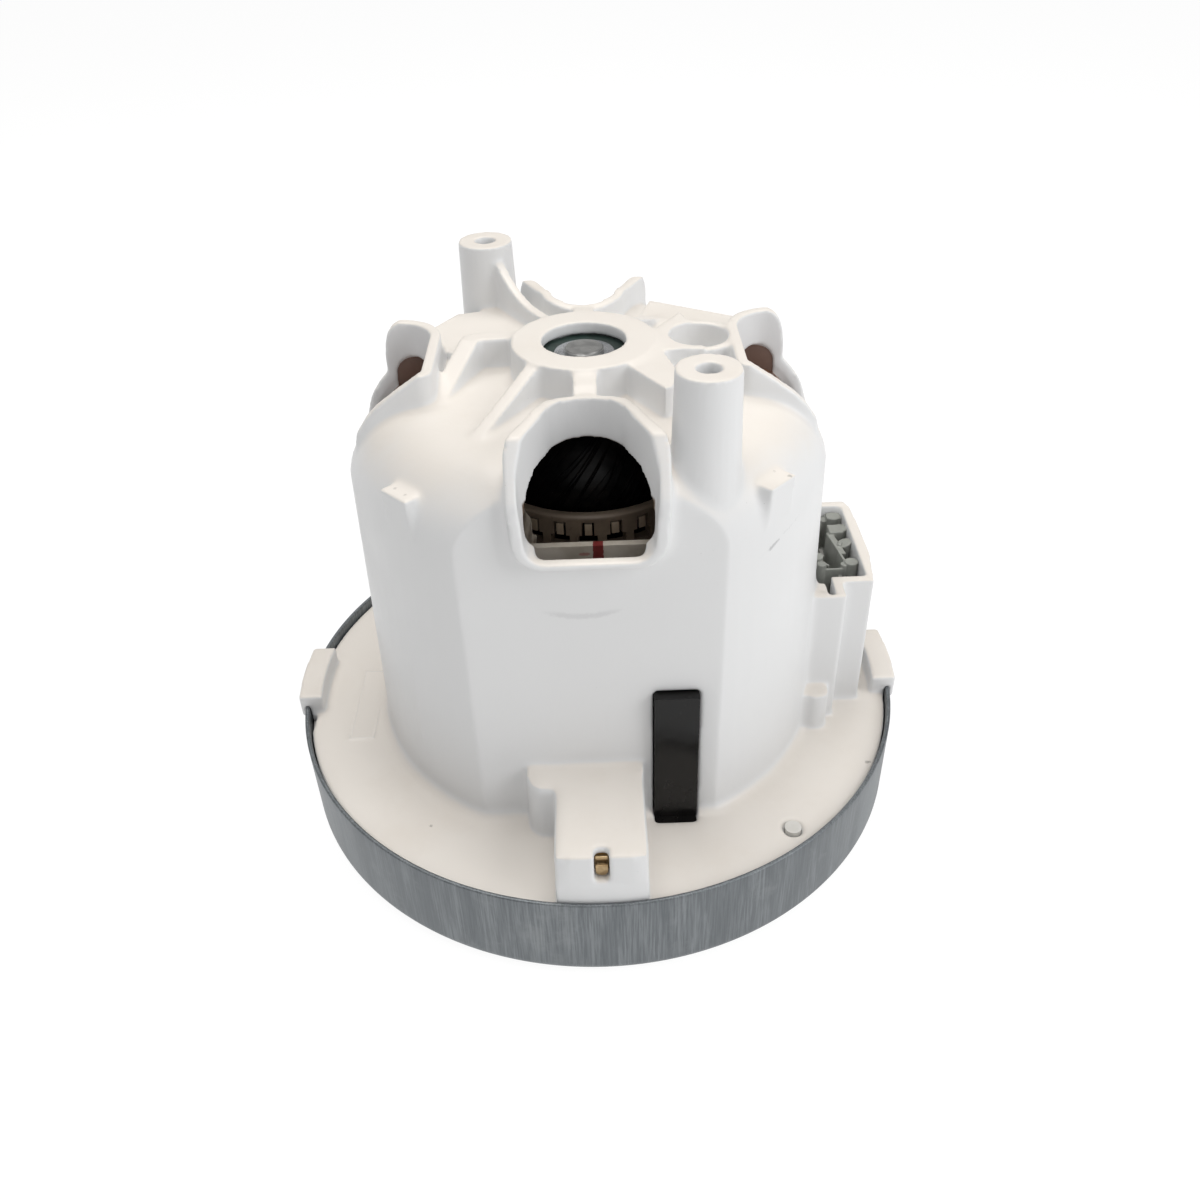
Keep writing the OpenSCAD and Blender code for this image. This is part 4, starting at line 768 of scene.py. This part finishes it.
# The ring's radii and heights, and the rounds of its top edges, in mm
CROWN_IN, CROWN_OUT, CROWN_LOW, CROWN_TOP, HOOKS = 21.7, 23.8, 73.8, 82.0, 26
CROWN_ROUND_IN, CROWN_ROUND_OUT, CROWN_SIDES = 0.4, 0.8, 224
CROWN_TURN = math.radians(-91.1) % (2 * math.pi / HOOKS)
# Gates at the ring's foot and the slots over them
GATE_HALF, GATE_TOP, GATE_LOW = 1.98, 77.5, 75.05
SLOT_HALF, SLOT_TOP = 1.25, 80.55
# How far blocks that touch reach into each other
LAP = 0.05
# A tongue's face and its root: depths inside the ring's outer face, and heights
FACE_DEPTH, FACE_Z = (0.55, -0.1), (77.55, 80.2)
ROOT_DEPTH, ROOT_Z = (1.2, 0.5), (79.2, 81.2)


def bent_block(bm, a0, a1, r0, r1, z0, z1, parts=5):
    """A block bent about the shaft axis, between two angles, radii and heights in mm."""
    rows = []
    for z in (z0, z1):
        for r in (r0, r1):
            rows.append([at_turn(bm, r, a0 + (a1 - a0) * m / parts, z) for m in range(parts + 1)])
    low_in, low_out, high_in, high_out = rows
    for m in range(parts):
        bm.faces.new((low_out[m], low_out[m + 1], high_out[m + 1], high_out[m]))
        bm.faces.new((low_in[m], high_in[m], high_in[m + 1], low_in[m + 1]))
        bm.faces.new((low_in[m], low_in[m + 1], low_out[m + 1], low_out[m]))
        bm.faces.new((high_in[m], high_out[m], high_out[m + 1], high_in[m + 1]))
    for m in (0, parts):
        bm.faces.new((low_in[m], low_out[m], high_out[m], high_in[m]))


def hook_crown():
    """Brown ring with a pale rim, square gates below, and a tongue in a slot above each gate."""
    bm = bmesh.new()
    foot = [(CROWN_IN, CROWN_LOW), (CROWN_OUT, CROWN_LOW), (CROWN_OUT, GATE_LOW), (CROWN_IN, GATE_LOW)]
    lathe(bm, foot, CROWN_SIDES, closed=True)
    r_in, r_out = CROWN_ROUND_IN, CROWN_ROUND_OUT
    top = [(CROWN_IN, SLOT_TOP), (CROWN_OUT, SLOT_TOP), (CROWN_OUT, CROWN_TOP - r_out)]
    top += arc_mm(CROWN_OUT - r_out, CROWN_TOP - r_out, r_out, 0, 90, 5)
    top += arc_mm(CROWN_IN + r_in, CROWN_TOP - r_in, r_in, 90, 180, 4)
    lathe(bm, top, CROWN_SIDES, closed=True)
    pitch = 2 * math.pi / HOOKS
    for k in range(HOOKS):
        web = CROWN_TURN + (k + 0.5) * pitch
        for half, z0, z1 in ((GATE_HALF, GATE_LOW - LAP, GATE_TOP),
                             (SLOT_HALF, GATE_TOP - LAP, SLOT_TOP + LAP)):
            wide = pitch / 2 - half / CROWN_OUT
            bent_block(bm, web - wide, web + wide, CROWN_IN, CROWN_OUT, z0, z1)
    crown = piece("hook_crown", from_bmesh(bm, "hook_crown"), "housing", "ring_brown", 40.0)
    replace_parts(crown, "winding_ring")
    bm = bmesh.new()
    for k in range(HOOKS):
        a = CROWN_TURN + k * pitch + RNG.uniform(-0.008, 0.008)
        drop = RNG.uniform(-0.12, 0.12)
        half = RNG.uniform(0.72, 0.8) / CROWN_OUT
        face_r, root_r = ([CROWN_OUT - depth for depth in pair] for pair in (FACE_DEPTH, ROOT_DEPTH))
        bent_block(bm, a - half, a + half, *face_r, FACE_Z[0] + drop, FACE_Z[1], 3)
        bent_block(bm, a - half, a + half, *root_r, *ROOT_Z, 3)
    hooks = bevelled(from_bmesh(bm, "crown_hooks"), 0.1, 2, 30)
    piece("crown_hooks", hooks, "housing", "ring_brown", 50.0)


hook_crown()


# ---------------------------------------------------------------- small parts of the housing
def plate_frame():
    """Bare raised rim of the field on the plate, with nothing inside it."""
    x0, x1, y0, y1, w = -59.0, -53.0, -19.2, 5.5, 0.55
    top, deep = 20.0, 0.45
    bm = bmesh.new()
    for a, b, c, d in ((x0, y0, x1, y0 + w), (x0, y1 - w, x1, y1),
                       (x0, y0 + w, x0 + w, y1 - w), (x1 - w, y0 + w, x1, y1 - w)):
        block_of(bm, a, b, c, d, top, deep)
    piece("plate_frame", bevelled(from_bmesh(bm, "plate_frame"), 0.12, 2), "housing", "housing_plastic", 40.0)


plate_frame()

# Front end of the brush tube, the heights and half widths of the strip, the tab and its catch, and the tab's
# lean about a height, in mm
TUBE_END_Y = -66.6
STRIP_Z, TAB_Z, TAB_ROUND_Z, CATCH_Z = (31.5, 32.4), (29.2, 30.9), 28.9, (30.3, 30.8)
TAB_HALF, CATCH_HALF = 1.25, 0.9
TAB_LEAN, LEAN_Z = 0.12, 29.6


def brush_tab():
    """Brass strip and rounded tab at the tube's end, seen in the hood's slot."""
    bm = bmesh.new()

    def upright(outline, deep, y, lean=0.0):
        """A plate that faces the front, at y from the tube's end."""
        plate_of(bm, outline, deep, lambda u, v, q: (u, TUBE_END_Y + y + q - lean * (v - LEAN_Z), v))

    upright(rectangle(TAB_HALF, *STRIP_Z), 0.5, -1.6)
    low, high = TAB_Z
    tab = [(-TAB_HALF, high), (-TAB_HALF, low)] + arc_mm(0.0, TAB_ROUND_Z, TAB_HALF, 180, 360, 10)
    upright(tab + [(TAB_HALF, low), (TAB_HALF, high)], 0.55, -2.3, TAB_LEAN)
    upright(rectangle(CATCH_HALF, *CATCH_Z), 2.0, -2.05)
    piece("brush_tab", bevelled(from_bmesh(bm, "brush_tab"), 0.14, 3), "housing", "brush_tube", 50.0)


brush_tab()

# Centre and radius of the arched openings of the side windows
ARCH_X, ARCH_Z, ARCH_R = 36.6, 97.4, 4.2
# Wraps behind them: margin round the opening, foot, near face, thickness and bend
WRAP_LAP, WRAP_LOW, WRAP_Y, WRAP_T, WRAP_BEND = 0.5, 84.0, 13.25, 0.5, 0.02


def coil_wraps():
    """Brown wrap of the coils, seen through the arched openings of the side windows."""
    half = ARCH_R + WRAP_LAP
    outline = [(ARCH_X + half, WRAP_LOW)] + arc_mm(ARCH_X, ARCH_Z, half, 0, 180, 20)
    outline.append((ARCH_X - half, WRAP_LOW))
    for name, side in (("coil_wrap_left", -1.0), ("coil_wrap_right", 1.0)):
        bm = bmesh.new()
        plate_of(bm, outline, WRAP_T,
                 lambda u, v, q: (side * u, WRAP_Y + q - WRAP_BEND * (u - ARCH_X) ** 2, v))
        bmesh.ops.triangulate(bm, faces=bm.faces)
        piece(name, from_bmesh(bm, name), "housing", "ring_brown", 60.0)


coil_wraps()

# Angle in degrees and height in mm of the liner's upper edge, then its foot and its radius
PAPER_EDGE = [(-116.4, 76.9), (-117.6, 77.05), (-118.4, 77.3), (-118.5, 79.3), (-119.05, 80.9),
              (-119.9, 81.7), (-120.9, 82.2), (-122.0, 82.7), (-123.3, 83.0), (-124.6, 82.6),
              (-126.0, 83.0), (-127.2, 82.4)]
PAPER_LOW, PAPER_R, PAPER_ROWS = 74.2, 24.75, 5


def window_paper():
    """Crumpled end of a slot liner that stands up at the left of the front window."""
    bm = bmesh.new()
    rows = []
    for k, (turn, tall) in enumerate(PAPER_EDGE):
        rows.append([])
        for m in range(PAPER_ROWS + 1):
            r = PAPER_R + 0.28 * math.sin(1.7 * k + 0.9 * m) + RNG.uniform(-0.12, 0.12)
            z = PAPER_LOW + (tall - PAPER_LOW) * m / PAPER_ROWS
            rows[-1].append(at_turn(bm, r, math.radians(turn), z))
    for left, right in zip(rows, rows[1:]):
        for m in range(PAPER_ROWS):
            bm.faces.new((left[m], right[m], right[m + 1], left[m + 1]))
    mesh = with_modifiers(from_bmesh(bm, "window_paper"), [
        ("SOLIDIFY", {"thickness": 0.2 * MM, "offset": 0.0}), ("SUBSURF", {"levels": 1})], "window_paper")
    piece("window_paper", mesh, "housing", "insulator", 60.0)


window_paper()


def brush_springs():
    """Copies of the brush springs, which ride on the housing."""
    for which, side in (("front", -1.0), ("back", 1.0)):
        node = "brush_spring_" + which
        obj = piece("spring_coil_" + which, NODES[node].data.copy(), "housing", SLOT_OF[node], 40.0)
        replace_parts(obj, node)
        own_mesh(obj)


brush_springs()

# The connector's insert: two corners of its block, its floor, the depth below it and the towers' usual top
CONN_BOX = (52.05, -9.15, 61.35, 20.35)
CONN_FLOOR_Z, CONN_DEEP, CONN_TOP_Z = 44.5, 14.0, 53.4
# Voxel of its remesh, and the share of the faces that are kept
CONN_VOXEL, CONN_KEPT = 0.16, 0.3
# (x, y, radius, height above the towers' usual top, slope of the top)
CONN_TOWERS = [(60.35, 13.2, 1.6, 0.0, 0.0), (60.0, 7.4, 1.75, 0.0, -0.35), (59.9, -1.3, 1.55, 0.0, 0.0),
               (58.3, -1.5, 0.95, -0.5, 0.0), (52.95, -1.8, 1.1, 0.0, 0.0), (52.6, 2.2, 1.5, -0.6, 0.0),
               (59.4, 18.5, 1.7, 0.0, 0.0)]
# (x and y of one corner, x and y of the other, height above the towers' usual top)
CONN_BLOCKS = [(57.2, 11.0, 60.6, 14.6, 0.0), (57.8, 17.4, 61.3, 20.3, -0.2), (52.1, 17.9, 58.0, 20.3, -1.2),
               (52.1, 16.9, 56.6, 17.5, -0.3), (53.0, -2.5, 58.4, -1.9, -1.3), (56.9, -6.8, 57.6, -1.6, -3.0)]
# (x and y of both ends, half thickness, height above the towers' usual top)
CONN_RIBS = [(57.3, 12.2, 58.9, 3.0, 0.75, -0.7), (58.7, -1.2, 58.0, 3.6, 0.28, -0.3),
             (58.6, 6.0, 59.2, 7.8, 0.4, -0.2), (52.4, 1.6, 55.0, -0.6, 0.3, -1.4)]


def connector_insert():
    """Grey insert in the shroud: towers, blocks and ribs of one moulding over a deep floor."""
    bm = bmesh.new()
    block_of(bm, *CONN_BOX, CONN_FLOOR_Z, CONN_DEEP)
    deep = CONN_TOP_Z - CONN_FLOOR_Z + 1.0
    for x, y, r, lift, slope in CONN_TOWERS:
        ring = [(x + r * math.cos(a), y + r * math.sin(a)) for a in round_turn(32)]
        top = CONN_TOP_Z + lift
        plate_of(bm, ring, deep, lambda u, v, q: (u, v, top + slope * (x + r - u) * (q == 0) - q))
    for x0, y0, x1, y1, lift in CONN_BLOCKS:
        block_of(bm, x0, y0, x1, y1, CONN_TOP_Z + lift, deep)
    for x0, y0, x1, y1, half, lift in CONN_RIBS:
        along = Vector((x1 - x0, y1 - y0)).normalized()
        nx, ny = -along.y * half, along.x * half
        outline = [(x0 + nx, y0 + ny), (x0 - nx, y0 - ny), (x1 - nx, y1 - ny), (x1 + nx, y1 + ny)]
        plate_of(bm, outline, deep, lambda u, v, q: (u, v, CONN_TOP_Z + lift - q))
    mesh = with_modifiers(from_bmesh(bm, "connector_insert"), [
        ("REMESH", {"mode": "VOXEL", "voxel_size": CONN_VOXEL * MM}), ("SMOOTH", SMOOTHED),
        ("DECIMATE", {"decimate_type": "COLLAPSE", "ratio": CONN_KEPT})], "connector_insert")
    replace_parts(piece("connector_insert", mesh, "housing", "connector_grey"), "connector_block")


connector_insert()

# Widths in mm of the rounded edges of nodes that stay as they are in the frame
EDGE_WIDTHS = {"connector_terminals": 0.15, "stator_insulator_top": 0.18, "stator_insulator_bottom": 0.15,
               "brush_holder_front": 0.15, "brush_holder_back": 0.15, "bearing_bracket": 0.2,
               "impeller_washer": 0.15, "impeller_back_plate": 0.15, "impeller_shroud": 0.15,
               "carbon_brush_front": 0.2, "carbon_brush_back": 0.2, "shaft_nut": 0.25}
soft_edges("slot_insert", 0.55, 3)
for node_name, width in EDGE_WIDTHS.items():
    soft_edges(node_name, width)


# ---------------------------------------------------------------- stage and light
FLOOR_R, FLOOR_DROP, FLOOR_WHITE = 4.0, 0.0002, 0.93
# Strength of the floor's own white and the share of it that the camera and reflections see
GLOW, GLOW_SHARE = 1.08, 0.86
# Strength of the surroundings as a light
WORLD_LIGHT = 0.31
# name: (place, size, power, colour)
LIGHTS = {
    "key": ((0.52, -0.28, 0.4), 0.4, 1.9, (1, 1, 1)),
    "top": ((-0.05, 0.12, 0.8), 0.6, 4.55, (1.0, 0.985, 0.96)),
    "fill": ((-0.65, -0.2, 0.45), 0.5, 0.3, (1, 1, 1)),
    "front": ((0.05, -0.6, 0.42), 0.35, 0.4, (1, 1, 1)),
}
LIGHT_TARGET = (0.0, 0.0, 0.05)


def make_stage():
    """A white floor that looks plain white to the camera and keeps a faint shadow of the motor."""
    bm = bmesh.new()
    bmesh.ops.create_circle(bm, cap_ends=True, radius=FLOOR_R, segments=96)
    floor = bpy.data.objects.new("floor", from_bmesh(bm, "floor"))
    floor.location.z = -FLOOR_DROP
    bpy.context.scene.collection.objects.link(floor)
    mat = bpy.data.materials.new("floor_white")
    mat.use_nodes = True
    tree = mat.node_tree
    tree.nodes.clear()
    output = tree.nodes.new("ShaderNodeOutputMaterial")
    diffuse = tree.nodes.new("ShaderNodeBsdfDiffuse")
    diffuse.inputs["Color"].default_value = (FLOOR_WHITE, FLOOR_WHITE, FLOOR_WHITE, 1)
    glow = tree.nodes.new("ShaderNodeEmission")
    glow.inputs["Color"].default_value = (1, 1, 1, 1)
    glow.inputs["Strength"].default_value = GLOW
    path = tree.nodes.new("ShaderNodeLightPath")
    seen = tree.nodes.new("ShaderNodeMath")
    seen.operation = "MAXIMUM"
    tree.links.new(path.outputs["Is Camera Ray"], seen.inputs[0])
    tree.links.new(path.outputs["Is Glossy Ray"], seen.inputs[1])
    share = tree.nodes.new("ShaderNodeMath")
    share.operation = "MULTIPLY"
    share.inputs[1].default_value = GLOW_SHARE
    tree.links.new(seen.outputs[0], share.inputs[0])
    mix = tree.nodes.new("ShaderNodeMixShader")
    tree.links.new(share.outputs[0], mix.inputs[0])
    tree.links.new(diffuse.outputs[0], mix.inputs[1])
    tree.links.new(glow.outputs[0], mix.inputs[2])
    tree.links.new(mix.outputs[0], output.inputs["Surface"])
    floor.data.materials.append(mat)


def area_light(name, location, size, power, color):
    """A square lamp that looks at the motor."""
    data = bpy.data.lights.new(name, "AREA")
    data.shape = "RECTANGLE"
    data.size = data.size_y = size
    data.energy = power
    data.color = color
    obj = bpy.data.objects.new(name, data)
    bpy.context.scene.collection.objects.link(obj)
    obj.location = location
    obj.rotation_euler = (Vector(LIGHT_TARGET) - Vector(location)).to_track_quat("-Z", "Y").to_euler()


def make_light():
    """White surroundings for the camera, dimmer as a light, and the lamps."""
    world = bpy.data.worlds.new("studio")
    bpy.context.scene.world = world
    world.use_nodes = True
    tree = world.node_tree
    back = tree.nodes["Background"]
    back.inputs["Color"].default_value = (1, 1, 1, 1)
    path = tree.nodes.new("ShaderNodeLightPath")
    level = tree.nodes.new("ShaderNodeMapRange")
    level.inputs["To Min"].default_value = WORLD_LIGHT
    tree.links.new(path.outputs["Is Camera Ray"], level.inputs["Value"])
    tree.links.new(level.outputs[0], back.inputs["Strength"])
    for name, values in LIGHTS.items():
        area_light(name, *values)


make_stage()
make_light()
bpy.context.scene.view_settings.view_transform = "Standard"
